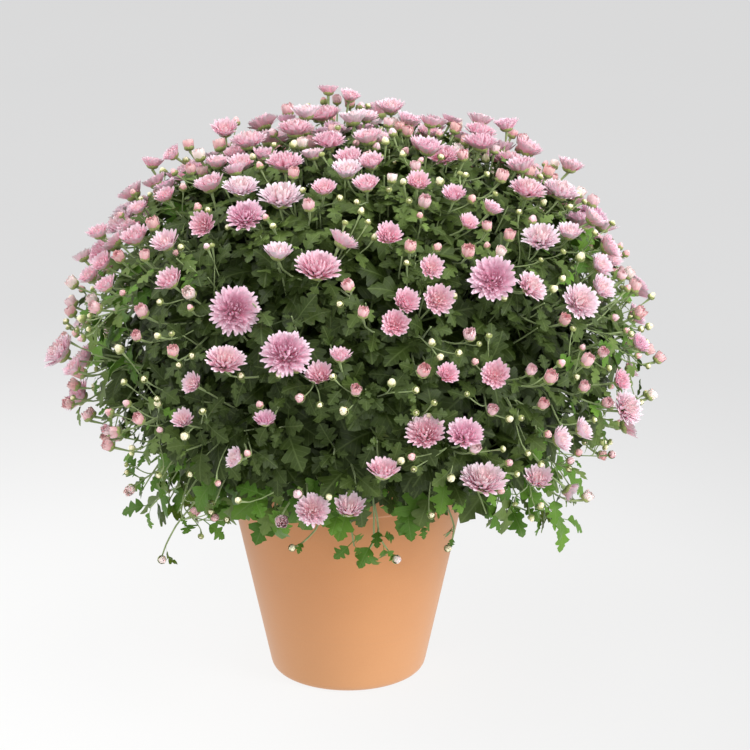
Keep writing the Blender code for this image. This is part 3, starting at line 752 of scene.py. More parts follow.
def plain_mesh(name, points, edges=(), faces=()):
    """A mesh of points, edges and faces."""
    mesh = bpy.data.meshes.new(name)
    mesh.from_pydata([tuple(p) for p in points], edges, faces)
    return mesh


def give(mesh, name, kind, values):
    """Gives the mesh an attribute with a value for each point."""
    key = "vector" if kind == "FLOAT_VECTOR" else "value"
    mesh.attributes.new(name, kind, "POINT").data.foreach_set(key, values)


def give_uv(mesh, places):
    """Gives the mesh a UV map from a place for each point."""
    layer = mesh.uv_layers.new(name="UVMap")
    for loop in mesh.loops:
        layer.data[loop.index].uv = places[loop.vertex_index]


def drop_attributes(mesh, *names):
    """Removes the attributes that only the tree needed."""
    for name in names:
        if name in mesh.attributes:
            mesh.attributes.remove(mesh.attributes[name])


def shelf(name, meshes):
    """A collection of template objects in the order of their names, kept out of the scene."""
    kept = bpy.data.collections.new(name)
    for i, mesh in enumerate(meshes):
        kept.objects.link(bpy.data.objects.new(f"{name}_{i:02d}", mesh))
    return kept


def clear_shelf(kept):
    """Removes a collection and its template objects."""
    for made in list(kept.objects):
        bpy.data.objects.remove(made)
    bpy.data.collections.remove(kept)


class Marks:
    """Where templates go: place, turn, size, which template and how light or dark."""

    def __init__(self):
        self.places, self.turns, self.sizes, self.kinds, self.tints = [], [], [], [], []

    def put(self, place, turn, size, kind, tint):
        self.places.append(place)
        self.turns += list(turn)
        self.sizes += list(size) if isinstance(size, Vector) else [size] * 3
        self.kinds.append(kind)
        self.tints.append(tint)

    def mesh(self, name):
        made = plain_mesh(name, self.places)
        give(made, "turn", "QUATERNION", self.turns)
        give(made, "size", "FLOAT_VECTOR", self.sizes)
        give(made, "kind", "INT", self.kinds)
        give(made, "tint", "FLOAT", self.tints)
        return made


def place_templates(nodes, marks, templates):
    """The templates on their marks, made real."""
    kind, turn = nodes.attribute("kind", "INT"), nodes.attribute("turn", "QUATERNION")
    size = nodes.attribute("size", "FLOAT_VECTOR")
    return nodes.real(nodes.instances(marks, templates, kind, turn, size))


def placing_tree():
    """Puts a template of a collection on each mark."""
    nodes, given, out = geometry_tree("place_templates", {"Templates": "Collection", "Finish": "Material"})
    placed = place_templates(nodes, given["Geometry"], given["Templates"])
    nodes.feed(out, nodes.coated(placed, given["Finish"]))
    return nodes.tree


def greens_tree():
    """Makes tubes of the lines it is given, and puts green cups on the marks of another object."""
    nodes, given, out = geometry_tree("spray_greens", {
        "Cup Marks": "Object",
        "Cups": "Collection",
        "Tube Sides": "Int",
        "Stalk Finish": "Material",
        "Cup Finish": "Material",
    })
    line = nodes.add("GeometryNodeMeshToCurve", {"Mesh": given["Geometry"]})
    circle = nodes.add("GeometryNodeCurvePrimitiveCircle", {"Resolution": given["Tube Sides"], "Radius": 1.0})
    tube = nodes.add("GeometryNodeCurveToMesh", {
        "Curve": line.outputs[0],
        "Profile Curve": circle.outputs[0],
        "Scale": nodes.attribute("thickness"),
        "Fill Caps": True,
    })
    marks = nodes.add("GeometryNodeObjectInfo", {"Object": given["Cup Marks"]})
    cups = place_templates(nodes, marks.outputs["Geometry"], given["Cups"])
    both = nodes.add("GeometryNodeJoinGeometry")
    nodes.feed(both.inputs[0], nodes.coated(cups, given["Cup Finish"]))
    nodes.feed(both.inputs[0], nodes.coated(tube.outputs[0], given["Stalk Finish"]))
    smooth = nodes.add("GeometryNodeSetShadeSmooth", {"Geometry": both.outputs[0]})
    nodes.feed(out, smooth.outputs[0])
    return nodes.tree


# What shapes a kind of head: its number of petals, where their bases and tips lie, how steeply the tips fall
# from heart to rim, how wide outer and inner petals are, how uneven they are, and the shapes of the outermost
# and the innermost petal. Radii, heights and widths are in half widths of the head
HEAD_SIZES = (
    "Petals", "Base Radius", "Base Height", "Base Rise", "Tip Radius", "Rim Height", "Heart Height",
    "Roundness", "Outer Width", "Inner Width", "Unevenness", "First Shape", "Last Shape",
)
HEAD_INPUTS = {
    **dict.fromkeys(HEAD_SIZES, "Float"),
    "Petals": "Int",
    "Seed": "Int",
    "Petal Shapes": "Collection",
    "Finish": "Material",
}

# How much of a head's unevenness each petal's turn and roll have
TURN_UNEVENNESS = 0.02
ROLL_UNEVENNESS = 2.4


def head_tree():
    """A flower head: petals on a golden-angle spiral whose tips lie on a bowl or dome over their bases."""
    nodes, given, out = geometry_tree("flower_head", HEAD_INPUTS)
    index = nodes.add("GeometryNodeInputIndex").outputs[0]
    layer = nodes.math("DIVIDE", index, nodes.math("SUBTRACT", given["Petals"], 1.0))
    share = nodes.math("SQRT", nodes.math("SUBTRACT", 1.0, layer))

    def uneven(number, strength=1.0):
        """1, a little more or less, its own for each petal."""
        half = nodes.math("MULTIPLY", given["Unevenness"], strength)
        chance = nodes.add("FunctionNodeRandomValue", {2: -1.0, 3: 1.0, 7: index}, data_type="FLOAT")
        nodes.feed(chance.inputs["Seed"], nodes.math("ADD", given["Seed"], float(number)))
        return nodes.math("MULTIPLY_ADD", chance.outputs[1], half, 1.0)

    turn = nodes.math("MULTIPLY", nodes.math("MULTIPLY", index, GOLDEN), uneven(1, TURN_UNEVENNESS))
    radius = nodes.math("MULTIPLY", given["Base Radius"], share)
    height = nodes.math("MULTIPLY_ADD", layer, given["Base Rise"], given["Base Height"])
    across, aside = [nodes.math("MULTIPLY", radius, nodes.math(part, turn)) for part in ("COSINE", "SINE")]
    tip_radius = nodes.math("MULTIPLY", nodes.math("MULTIPLY", given["Tip Radius"], share), uneven(2))
    fall = nodes.math("POWER", share, given["Roundness"])
    dome = nodes.spread(fall, 0.0, 1.0, given["Heart Height"], given["Rim Height"])
    tip_height = nodes.math("ADD", dome, nodes.math("SUBTRACT", uneven(4), 1.0))
    run = nodes.math("SUBTRACT", tip_radius, radius)
    rise = nodes.math("SUBTRACT", tip_height, height)
    squares = [nodes.math("POWER", side, 2.0) for side in (run, rise)]
    length = nodes.math("SQRT", nodes.math("ADD", *squares))
    pitch = nodes.math("MULTIPLY", nodes.math("ARCTAN2", rise, run), -1.0)
    roll = nodes.math("SUBTRACT", uneven(3, ROLL_UNEVENNESS), 1.0)
    turned = nodes.add("FunctionNodeEulerToRotation", {"Euler": nodes.vector(roll, pitch, turn)})
    width = nodes.spread(layer, 0.0, 1.0, given["Outer Width"], given["Inner Width"])
    width = nodes.math("MULTIPLY", width, uneven(5))
    shape = nodes.math("FLOOR", nodes.spread(layer, 0.0, 1.0, given["First Shape"], given["Last Shape"]))
    place = nodes.vector(across, aside, height)
    points = nodes.add("GeometryNodePoints", {"Count": given["Petals"], "Position": place}).outputs[0]
    size = nodes.vector(length, width, length)
    petals = nodes.instances(points, given["Petal Shapes"], shape, turned.outputs[0], size)
    layered = nodes.add(
        "GeometryNodeStoreNamedAttribute",
        {"Geometry": petals, "Name": "layer", "Value": layer},
        data_type="FLOAT",
        domain="INSTANCE",
    )
    nodes.feed(out, nodes.coated(nodes.real(layered.outputs[0]), given["Finish"]))
    return nodes.tree


# Half width of a petal along its length, as shares of its own length and width
PETAL_EDGE = ((0.0, 0.45), (0.42, 0.94), (0.82, 0.88), (1.0, 0.28))
PETAL_NOTCH = 0.03
PETAL_LIFT = 0.3
PETAL_CURLS = (-0.45, 0.35, 0.9, 1.4, 1.9)
PETAL_CUPS = (0.10, 0.16, 0.22, 0.28, 0.34)


def petal_mesh(curl, cup):
    """A strap petal from the origin to its tip at +X that bends up by curl, with its sides raised by cup."""
    rows = []
    x = z = before = 0.0
    for along, half in PETAL_EDGE:
        bend = curl * (before + along) / 2
        x += (along - before) * math.cos(bend)
        z += (along - before) * math.sin(bend)
        before = along
        rows.append((x, z, curl * along, half, along))
    reach, slope = math.hypot(x, z), math.atan2(z, x)
    points, places, faces = [], [], []
    for x, z, tilt, half, along in rows:
        for side in (-1, 0, 1):
            lift = cup * half * abs(side) * PETAL_LIFT
            shift = PETAL_NOTCH if along == 1.0 and not side else 0.0
            here = Vector((x - math.sin(tilt) * lift - math.cos(tilt) * shift, side * half,
                           z + math.cos(tilt) * lift - math.sin(tilt) * shift))
            here.rotate(Quaternion((0, 1, 0), slope))
            points.append((here.x / reach, here.y, here.z / reach))
            places.append((0.5 + side * half / 2, along))
    for row, column in itertools.product(range(len(PETAL_EDGE) - 1), range(2)):
        a = row * 3 + column
        faces.append((a, a + 3, a + 4, a + 1))
    mesh = plain_mesh("petal", points, (), faces)
    give_uv(mesh, places)
    mesh.shade_smooth()
    return mesh


# Kinds of head, each with the least width that it has
OPEN_WIDTH = 19 * MM
CUP_WIDTH = 13 * MM
HEAD_KINDS = (
    (41 * MM, "pompon"), (29 * MM, "full"), (OPEN_WIDTH, "open"), (CUP_WIDTH, "cup"), (8.9 * MM, "drop"),
    (6.9 * MM, "button"), (0, "green"),
)

# How many variants each kind has, and its sizes in the order above
HEAD_FORMS = {
    "pompon": (2, 210, 0.34, -0.30, 0.36, 1.0, -0.14, 0.55, 2.3, 0.082, 0.062, 0.07, 0.0, 3.9),
    "full": (6, 120, 0.28, -0.32, 0.28, 1.0, 0.10, 0.46, 2.2, 0.114, 0.072, 0.08, 0.6, 3.9),
    "open": (6, 68, 0.24, -0.38, 0.24, 0.98, 0.36, 0.40, 2.0, 0.150, 0.092, 0.08, 1.0, 3.9),
    "cup": (5, 40, 0.36, -0.44, 0.20, 0.66, 0.76, 0.80, 1.5, 0.22, 0.12, 0.12, 2.6, 4.5),
    "drop": (3, 12, 0.52, -0.35, 0.05, 0.06, 0.98, 0.86, 1.0, 0.34, 0.28, 0.05, 4.0, 4.5),
    "button": (3, 10, 0.62, -0.15, 0.05, 0.12, 0.76, 0.56, 1.0, 0.32, 0.26, 0.05, 4.0, 4.5),
    "green": (3, 8, 0.42, 0.10, 0.05, 0.08, 0.84, 0.70, 1.0, 0.28, 0.22, 0.05, 4.0, 4.5),
}

# Green cup under each kind of head: which cup, its radius, and the height of its tips above the neck, in half
# widths of the head
CUPS_UNDER = {
    "pompon": (0, 0.44, 0.26), "full": (0, 0.44, 0.36), "open": (0, 0.52, 0.50), "cup": (0, 0.62, 0.58),
    "drop": (0, 0.70, 0.78), "button": (0, 0.86, 0.80), "green": (1, 0.92, 1.36),
}

# The tint of each kind that isn't in full bloom, and the shares of cups and drops that have another
KIND_TINTS = {"cup": TINT_WARM, "drop": TINT_CREAM, "button": TINT_CREAM, "green": TINT_CREAM}
PALE_CUPS = 0.14
WARM_DROPS = 0.6


def head_kind(width):
    """The kind of head of a width."""
    return next(kind for least, kind in HEAD_KINDS if width >= least)


def head_templates(finish):
    """Meshes of heads of half width 1 that face +Z, and the numbers of each kind's."""
    shapes = shelf("petal_shape", [petal_mesh(curl, cup) for curl, cup in zip(PETAL_CURLS, PETAL_CUPS)])
    tree = head_tree()
    seedling = mesh_object("seedling", plain_mesh("seedling", [(0, 0, 0)]))
    meshes, numbers = [], {}
    for kind, (variants, *sizes) in HEAD_FORMS.items():
        numbers[kind] = list(range(len(meshes), len(meshes) + variants))
        values = {**dict(zip(HEAD_SIZES, sizes)), "Petal Shapes": shapes, "Finish": finish}
        for i in range(variants):
            meshes.append(grown(seedling, tree, {**values, "Seed": VARIANT_SEED_STEP * i}))
    bpy.data.objects.remove(seedling)
    clear_shelf(shapes)
    return meshes, numbers


# Green cups under heads and round green buds: height and radius of each ring, as shares of the widest radius,
# and height and radius of the tips
CUP_SIDES = 10
CUP_RINGS = ((0.0, 0.30), (0.18, 0.72), (0.55, 0.98), (0.92, 1.0))
CUP_TIPS = (1.32, 0.96)
BUD_RINGS = ((0.0, 0.30), (0.20, 0.74), (0.62, 1.0), (1.10, 0.92))
BUD_TIPS = (1.62, 0.42)


def cup_mesh(rings, tips):
    """A cup of pointed bracts of widest radius 1, whose foot is at the origin and which opens to +Z."""
    angles = ring_angles(CUP_SIDES)
    points = [(0, 0, 0), *[round_point(radius, a, height) for height, radius in rings for a in angles]]
    points += [round_point(tips[1], a, tips[0]) for a in angles[1::2]]
    faces = [(0, 1 + (i + 1) % CUP_SIDES, 1 + i) for i in range(CUP_SIDES)]
    for row, i in itertools.product(range(len(rings) - 1), range(CUP_SIDES)):
        a, b = 1 + row * CUP_SIDES + i, 1 + row * CUP_SIDES + (i + 1) % CUP_SIDES
        faces.append((a, b, b + CUP_SIDES, a + CUP_SIDES))
    top = 1 + (len(rings) - 1) * CUP_SIDES
    for i in range(0, CUP_SIDES, 2):
        middle, after = top + i + 1, top + (i + 2) % CUP_SIDES
        tip = top + CUP_SIDES + i // 2
        faces += [(top + i, middle, tip), (middle, after, tip)]
    mesh = plain_mesh("cup", points, (), faces)
    give_uv(mesh, [(math.atan2(y, x) / FULL_TURN + 0.5, z) for x, y, z in points])
    mesh.shade_smooth()
    return mesh


def facing_turn(facing, spin):
    """The turn that brings +Z to facing, after a spin about +Z."""
    return UP.rotation_difference(facing) @ Quaternion(UP, spin)


def bent_line(start, leave, arrive, end, count):
    """Points on a smooth curve from start to end that leaves and arrives in the given directions."""
    reach = (end - start).length
    knots = (start, start + leave * reach * CURVE_PULL, end - arrive * reach * CURVE_PULL, end)
    points = []
    for i in range(count):
        t = i / (count - 1)
        shares = ((1 - t) ** 3, 3 * t * (1 - t) ** 2, 3 * t * t * (1 - t), t**3)
        points.append(sum((knot * share for knot, share in zip(knots, shares)), Vector()))
    return points


class Lines:
    """Lines that a tree turns into tubes, each with a thickness at every point."""

    def __init__(self):
        self.points, self.edges, self.thickness = [], [], []

    def put(self, points, start_radius, end_radius, flare=0.0):
        first = len(self.points)
        count = len(points)
        for i, point in enumerate(points):
            share = i / (count - 1)
            swell = flare if i == count - 1 else 0.0
            self.points.append(point)
            self.thickness.append(start_radius + (end_radius - start_radius) * share + swell)
            if i:
                self.edges.append((first + i - 1, first + i))

    def mesh(self, name):
        made = plain_mesh(name, self.points, self.edges)
        give(made, "thickness", "FLOAT", self.thickness)
        return made


# Stalks of the sprays, which leave the branch further back the further aside their head is
STALK_POINTS = 8
TUBE_SIDES = 5
STALK_RADII = (1.0 * MM, 0.75 * MM)
BUD_STALK_RADII = (0.65 * MM, 0.5 * MM)
STALK_FLARE = 0.7 * MM
STALK_SPREAD = 0.75
STALK_RISE = 0.25
STALK_STRAIGHTNESS = 0.5
NECK_DEPTH = 0.5
DEEPEST_ROOT = 85 * MM
BLOOM_SPREAD = 1.1
BUD_FOLLOWS_STALK = 1.2
BUD_ROOT_DEPTH = 1.15


def stalk_neck(head):
    """Where the stalk ends under a head."""
    return head.place - head.facing * head.width / 2 * NECK_DEPTH


def stem_lines():
    """The foot, the lean and the top of each stem that stands in the soil."""
    stems = []
    for i in range(STEM_COUNT):
        out = round_point(1, FULL_TURN * (i + STEM_TURN) / STEM_COUNT)
        foot = POT_AXIS + out * STEM_RING + UP * SOIL_TOP
        lean = (UP + out * STEM_LEAN).normalized()
        stems.append((foot, lean, foot + lean * (STEM_TOP - SOIL_TOP) / lean.z))
    return stems


def nearest_stem(place):
    """The lean and the top of the stem whose top is nearest to a place."""
    return min(stem_lines(), key=lambda stem: (stem[2] - place).length)[1:]


def branch_path(direction, level, arrive):
    """Points of a branch from the top of the nearest stem out to a level of the dome."""
    tip = dome_point(direction, level)
    lean, start = nearest_stem(tip)
    leave = (lean + direction * BRANCH_SPREAD).normalized()
    return bent_line(start, leave, arrive, tip, PATH_POINTS)


def steps_back(path):
    """Each point of a path but its first, from its end, with the point before it."""
    back = list(reversed(path))
    return zip(back, back[1:])


def back_along(path, distance):
    """The place this far back from a path's end, and the way that the path runs there."""
    for here, there in steps_back(path):
        step = (here - there).length
        if distance <= step:
            return here.lerp(there, distance / step), (here - there).normalized()
        distance -= step
    return path[0], (path[1] - path[0]).normalized()


class Spray:
    """A branch that forks into stalks with a flower head on each; small buds leave those stalks."""

    def __init__(self, centre, group, extras):
        fork = dome_point(centre, FORK_LEVEL)
        self.branch = branch_path(centre, FORK_LEVEL, centre)
        self.heads = sorted(group, key=lambda head: (head.place - fork).angle(centre)) + extras
        self.stalks = []
        hosts = [head for head in self.heads if head.width >= CUP_WIDTH]
        for i, head in enumerate(self.heads):
            if i < len(group) or head.width >= CUP_WIDTH:
                out = head.place - fork
                aside = (out - centre * out.dot(centre)).length
                depth = FORK_LENGTH * (i % len(group)) / len(group) + aside * STALK_SPREAD
                root, leave = back_along(self.branch, min(depth, DEEPEST_ROOT))
                leave = (leave + UP * STALK_RISE).normalized()
            else:
                host = min(self.stalks[:len(hosts)], key=lambda stalk: (stalk[-1] - head.place).length)
                depth = (host[-1] - head.place).length * BUD_ROOT_DEPTH
                root, leave = back_along(host, depth)
                straight = (head.place - root).normalized()
                head.facing = (head.facing + straight * BUD_FOLLOWS_STALK).normalized()
            neck = stalk_neck(head)
            arrive = (head.facing + (neck - root).normalized() * STALK_STRAIGHTNESS).normalized()
            self.stalks.append(bent_line(root, leave, arrive, neck, STALK_POINTS))


def put_head(head, neck, petals, cups, tools, rng, given=None):
    """Marks the petals of a head and the green cup under them, with the tint of its kind or a given one."""
    kind = head_kind(head.width)
    half = head.width / 2
    turn = facing_turn(head.facing, rng.uniform(0, FULL_TURN))
    low, high = head.shades
    shade, chance = low + (high - low) * rng.random(), rng.random()
    tint = KIND_TINTS.get(kind, 0)
    if kind == "cup" and chance < PALE_CUPS:
        tint = TINT_PALE
    if kind == "drop" and chance < WARM_DROPS:
        tint = TINT_WARM
    if given is not None:
        tint = given
    spread = BLOOM_SPREAD if head.width >= OPEN_WIDTH else 1
    petals.put(head.place, turn, half * spread, rng.choice(tools["numbers"][kind]), shade + tint)
    cup, radius, rise = CUPS_UNDER[kind]
    height = rise / (CUP_TIPS, BUD_TIPS)[cup][0]
    cups.put(neck, turn, Vector((radius, radius, height)) * half, cup, shade)


def dress_spray(number, spray, tools, rng):
    """The petals, and the branch, stalks and green cups, of one spray."""
    lines, petals, cups = Lines(), Marks(), Marks()
    lines.put(spray.branch, *BRANCH_RADII)
    for head, stalk in zip(spray.heads, spray.stalks):
        lines.put(stalk, *(STALK_RADII if head.width >= CUP_WIDTH else BUD_STALK_RADII), STALK_FLARE)
        put_head(head, stalk[-1], petals, cups, tools, rng)
    node = f"spray_{number:02d}"
    finish_piece(f"{node}_petals", placed(petals, tools["heads"], tools["petal"], tools), "petal", node)
    finish_piece(f"{node}_stalks", greens(lines, cups, tools), "leaf", node)


def placed(marks, templates, finish, tools):
    """The plain mesh of templates on marks."""
    source = mesh_object("marks", marks.mesh("marks"))
    mesh = grown(source, tools["placing"], {"Templates": templates, "Finish": finish})
    drop_attributes(mesh, "turn", "size", "kind")
    bpy.data.objects.remove(source)
    return mesh


def greens(lines, cups, tools):
    """The plain mesh of tubes along lines, with green cups on their marks."""
    marks = mesh_object("marks", cups.mesh("marks"))
    strings = mesh_object("lines", lines.mesh("lines"))
    mesh = grown(strings, tools["greens"], {
        "Cup Marks": marks,
        "Cups": tools["cups"],
        "Tube Sides": TUBE_SIDES,
        "Stalk Finish": tools["stalk"],
        "Cup Finish": tools["calyx"],
    })
    drop_attributes(mesh, "turn", "size", "kind", "thickness")
    bpy.data.objects.remove(marks)
    bpy.data.objects.remove(strings)
    return mesh


def finish_piece(name, mesh, slot, *nodes):
    """Makes a finished mesh a piece of the plant that stands for its CAD nodes."""
    made = mesh_object(name, mesh)
    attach(made, "root")
    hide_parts(*nodes)


# Right half of a leaf's edge from its foot to its tip, in blade lengths along and across
LEAF_EDGE = (
    (0.02, 0.02), (0.10, 0.15), (0.20, 0.27), (0.30, 0.31), (0.36, 0.12), (0.46, 0.24), (0.56, 0.35),
    (0.64, 0.30), (0.68, 0.13), (0.78, 0.21), (0.84, 0.14), (0.90, 0.13), (0.96, 0.05),
)
LEAF_INSIDE = ((0.26, 0.14), (0.56, 0.16))
LEAF_RIB = (0.0, 0.16, 0.34, 0.52, 0.68, 0.84)
PETIOLE_LENGTH = 0.34
PETIOLE_WIDTH = 0.022
PETIOLE_OVERLAP = 0.05

# A leaf's own width and sideways bend, the unevenness and width of its lobes, and how much it folds on its
# rib, arches, twists and waves and where its waves begin
LEAF_WIDTHS = (0.86, 1.14)
LEAF_BEND = 0.03
LOBE_UNEVENNESS = 0.012
LOBE_WIDTHS = (0.9, 1.1)
LEAF_FORMS = ((0.12, 0.42), (0.35, 1.15), (-0.3, 0.3), (0.02, 0.05), (0, 6))
LEAF_SAG = 0.5
WAVES = 9
WAVE_OFFSET = 3
WAVE_WIDTH = 0.3


def leaf_mesh(rng):
    """A lobed, toothed leaf along X with a short stalk, folded on its midrib, arched and waved."""
    widen = rng.uniform(*LEAF_WIDTHS)
    sides = []
    for side in (1, -1):
        shift = rng.uniform(-LEAF_BEND, LEAF_BEND)
        sides.append([
            (a + shift * math.sin(math.pi * a) + rng.uniform(-LOBE_UNEVENNESS, LOBE_UNEVENNESS),
             side * c * widen * rng.uniform(*LOBE_WIDTHS))
            for a, c in LEAF_EDGE
        ])
    outline = [*sides[0], (1.0, 0.0), *reversed(sides[1]), (0.0, 0.0)]
    rib = [(a, 0.0) for a in LEAF_RIB[1:]]
    inside = [(a, side * c * widen) for a, c in LEAF_INSIDE for side in (1, -1)]
    flat = [Vector(p) for p in [*outline, *rib, *inside]]
    count = len(outline)
    edges = [(i, (i + 1) % count) for i in range(count)]
    spine = [count - 1, *range(count, count + len(rib)), len(sides[0])]
    edges += list(zip(spine, spine[1:]))
    points, _, faces, *_ = delaunay_2d_cdt(flat, edges, [], 1, SAME_PLACE)
    first = len(points)
    faces = [tuple(face) for face in faces]
    faces += [(first, first + 2, first + 3, first + 1), (first + 2, first + 4, first + 5, first + 3)]
    ends = (-PETIOLE_LENGTH, -PETIOLE_LENGTH / 2, PETIOLE_OVERLAP)
    points = [*points, *[Vector((x, w)) for x in ends for w in (-PETIOLE_WIDTH, PETIOLE_WIDTH)]]
    fold, arch, twist, wave, phase = [rng.uniform(*form) for form in LEAF_FORMS]
    shaped = []
    for p in points:
        if p.x <= 0:
            shaped.append((p.x, p.y, 0.0))
            continue
        ripple = wave * math.sin(phase + WAVES * p.x + WAVE_OFFSET * math.copysign(1, p.y))
        lift = abs(p.y) * fold - abs(p.y) * LEAF_SAG * p.x + ripple * abs(p.y) / WAVE_WIDTH
        bend = arch * p.x
        turned = Matrix.Rotation(twist * p.x, 3, "X") @ Vector((0, p.y, lift))
        shaped.append((
            math.sin(bend) / arch + turned.z * math.sin(bend),
            turned.y,
            (math.cos(bend) - 1) / arch + turned.z * math.cos(bend),
        ))
    mesh = plain_mesh("leaf", shaped, (), faces)
    give_uv(mesh, [(0.5 + p.y, p.x) for p in points])
    mesh.shade_smooth()
    return mesh


def leaf_turn(along, face):
    """The turn that brings a leaf's +X to along and its upper side as near to face as it can."""
    across = face.cross(along).normalized()
    return Matrix((along, across, along.cross(across))).transposed().to_quaternion()


def leaf_face(place, rng):
    """The way that a leaf's upper side turns at a place: out of the bush and up, a little its own way."""
    out = dome_normal(place)
    out.z = max(out.z, LEAST_LEAF_RISE)
    wander = Vector([rng.uniform(-LEAF_WANDER, LEAF_WANDER) for _ in range(3)])
    return (out.normalized() + UP * LEAF_UPWARD + wander).normalized()


def near_pot(place):
    """True if a place is in the pot or too near it."""
    out = place - POT_AXIS
    if out.z > POT_HEIGHT + POT_CLEARANCE:
        return False
    return math.hypot(out.x, out.y) < pot_radius(out.z) + POT_CLEARANCE


def pot_radius(height):
    """The pot's outer radius at a height."""
    if height > LEDGE_HEIGHT:
        return RIM_RADIUS
    return FOOT_RADIUS + (SHOULDER_RADIUS - FOOT_RADIUS) * max(height, 0) / LEDGE_HEIGHT


class HeadFinder:
    """Says whether a place is inside a flower head."""

    def __init__(self, heads):
        self.heads = heads
        self.tree = KDTree(len(heads))
        for i, head in enumerate(heads):
            self.tree.insert(head.place, i)
        self.tree.balance()

    def meets(self, place, margin):
        nearest = self.tree.find_n(place, NEAREST_HEADS)
        return any(distance < self.heads[i].width / 2 + margin for _, i, distance in nearest)


class Foliage:
    """Collects leaves in sectors round the bush, clear of the flower heads and the pot."""

    def __init__(self, heads, rng):
        self.finder = HeadFinder(heads)
        self.rng = rng
        self.sectors = [Marks() for _ in range(LEAF_SECTORS)]

    def line_path(self, path, count, sizes, spacing=LEAF_SPACING, first=FIRST_LEAF, backlit=False):
        """Puts leaves on a path in a golden-angle spiral from its tip inward, small and close at the tip."""
        rng = self.rng
        spin = rng.uniform(0, FULL_TURN)
        walked, wanted, number = 0.0, first, 0
        for here, there in steps_back(path):
            step = (there - here).length
            axis = (here - there).normalized()
            while number < count and walked + step >= wanted:
                place = here + (there - here) * ((wanted - walked) / step)
                age = min(1.0, number / max(count - 1, 1) * LEAF_AGEING)
                size = sizes[0] + (sizes[1] - sizes[0]) * age
                spread = rng.uniform(*LEAF_ANGLES) * (YOUNG_ANGLE + ANGLE_GROWTH * age)
                size *= rng.uniform(*LEAF_SIZE_RANGE)
                self.put(place, axis, spin + GOLDEN * number, spread, size, backlit)
                number += 1
                gap = YOUNG_SPACING + (1 - YOUNG_SPACING) * age
                wanted += spacing * rng.uniform(*LEAF_SPACING_RANGE) * gap
            walked += step

    def put(self, place, axis, angle, spread, size, backlit):
        """Puts one leaf on a shoot, turned until it meets neither a flower head nor the pot."""
        rng = self.rng
        for attempt in range(LEAF_TRIES):
            turn = angle + rng.uniform(-LEAF_TWIST, LEAF_TWIST) + attempt * RETRY_TURN
            side = axis.orthogonal().normalized()
            out = side * math.cos(turn) + axis.cross(side) * math.sin(turn)
            droop = UP * rng.uniform(0.0, LEAF_DROOP)
            along = (axis * math.cos(spread) + out * math.sin(spread) - droop).normalized()
            face = leaf_face(place, rng)
            foot = place + along * size * PETIOLE_LENGTH
            probes = [foot + along * size * share for share in LEAF_PROBES]
            if abs(face.dot(along)) > EDGE_ON or not self.has_room(place, probes):
                continue
            tint = self.draw_tint(place, foot, backlit)
            if tint is not None:
                marks = self.sectors[sector_of(place - BUSH_CENTRE)]
                marks.put(foot, leaf_turn(along, face), size, rng.randrange(LEAF_VARIANTS), tint)
            return

    def has_room(self, place, probes):
        """True if places along a leaf are clear of heads and pot and, above, don't stick out of the dome."""
        if place.z > BUSH_CENTRE.z and dome_level(probes[-1] - BUSH_CENTRE) > 1.0:
            return False
        return not any(near_pot(probe) or self.finder.meets(probe, LEAF_GAP) for probe in probes)

    def draw_tint(self, place, foot, backlit):
        """A leaf's tint, or None for one that the thinner edge of the bush goes without."""
        rng = self.rng
        # Near the outline, and on the crown, leaves get paler: painted light
        airy = paler = clamped((outline_share(place) - AIRY_FROM) / (1 - AIRY_FROM))
        if place.z > BUSH_CENTRE.z + AIRY_TOP:
            airy, paler = 0.0, CROWN_PALER
        if not backlit and rng.random() < airy * AIRY_LOSS:
            return None
        inner, outer = YOUNG_AND_LIT_LEVELS
        # Leaves nearer the dome's skin get paler, partly as young growth and partly as painted light; deeper
        # ones stay dark, painted shade
        youth_and_light = clamped((dome_level(foot - BUSH_CENTRE) - inner) / (outer - inner)) * YOUNG_AND_LIT_SHARE
        tint = youth_and_light * rng.uniform(*YOUNG_AND_LIT_TINTS) + rng.random() ** 2 * (1 - YOUNG_AND_LIT_SHARE) + paler
        # Low outer leaves, a share of the outline's and all on hanging shoots get a bright green: painted
        # back-light
        low = place.z < BUSH_CENTRE.z - BACKLIT_DEPTH and youth_and_light > 0
        if backlit or rng.random() < (BACKLIT_SHARE if low else airy * AIRY_BACKLIT):
            return TINT_BACKLIT + rng.random() * TOP_TINT
        return min(TOP_TINT, tint)


def sector_of(direction):
    """The number of the sector of the bush that a direction is in."""
    return int((math.atan2(direction.y, direction.x) / FULL_TURN + 0.5) * LEAF_SECTORS) % LEAF_SECTORS


def side_path(i, rng):
    """A leafy shoot out to a level of the dome, one of an even spread."""
    nudge = Vector([rng.uniform(-1, 1) for _ in range(3)]) * SHOOT_WANDER
    direction = (spiral_direction(i, SHOOT_COUNT, LOWEST_SHOOT) + nudge).normalized()
    level = rng.uniform(*SHOOT_LEVELS) - LOW_SHOOT_LOSS * max(0.0, -direction.z)
    arrive = (dome_normal(dome_point(direction, level)) + UP * SHOOT_RISE).normalized()
    return branch_path(direction, level, arrive)


def fringe_path(i, rng):
    """A shoot that arches over the pot's rim and droops, less so in front of the pot."""
    turn = GOLDEN * (SHOOT_COUNT + i) + rng.uniform(-FRINGE_WANDER, FRINGE_WANDER)
    out = round_point(1, turn)
    lift = FRINGE_FRONT_LIFT * max(0.0, -out.y) ** 2
    reach = rng.uniform(*FRINGE_REACH)
    tip = POT_AXIS + out * reach + UP * (rng.uniform(*FRINGE_HEIGHTS) + lift)
    lean, start = nearest_stem(tip)
    arrive = (out * FRINGE_OUTWARD - UP).normalized()
    return bent_line(start, (lean + out).normalized(), arrive, tip, PATH_POINTS)


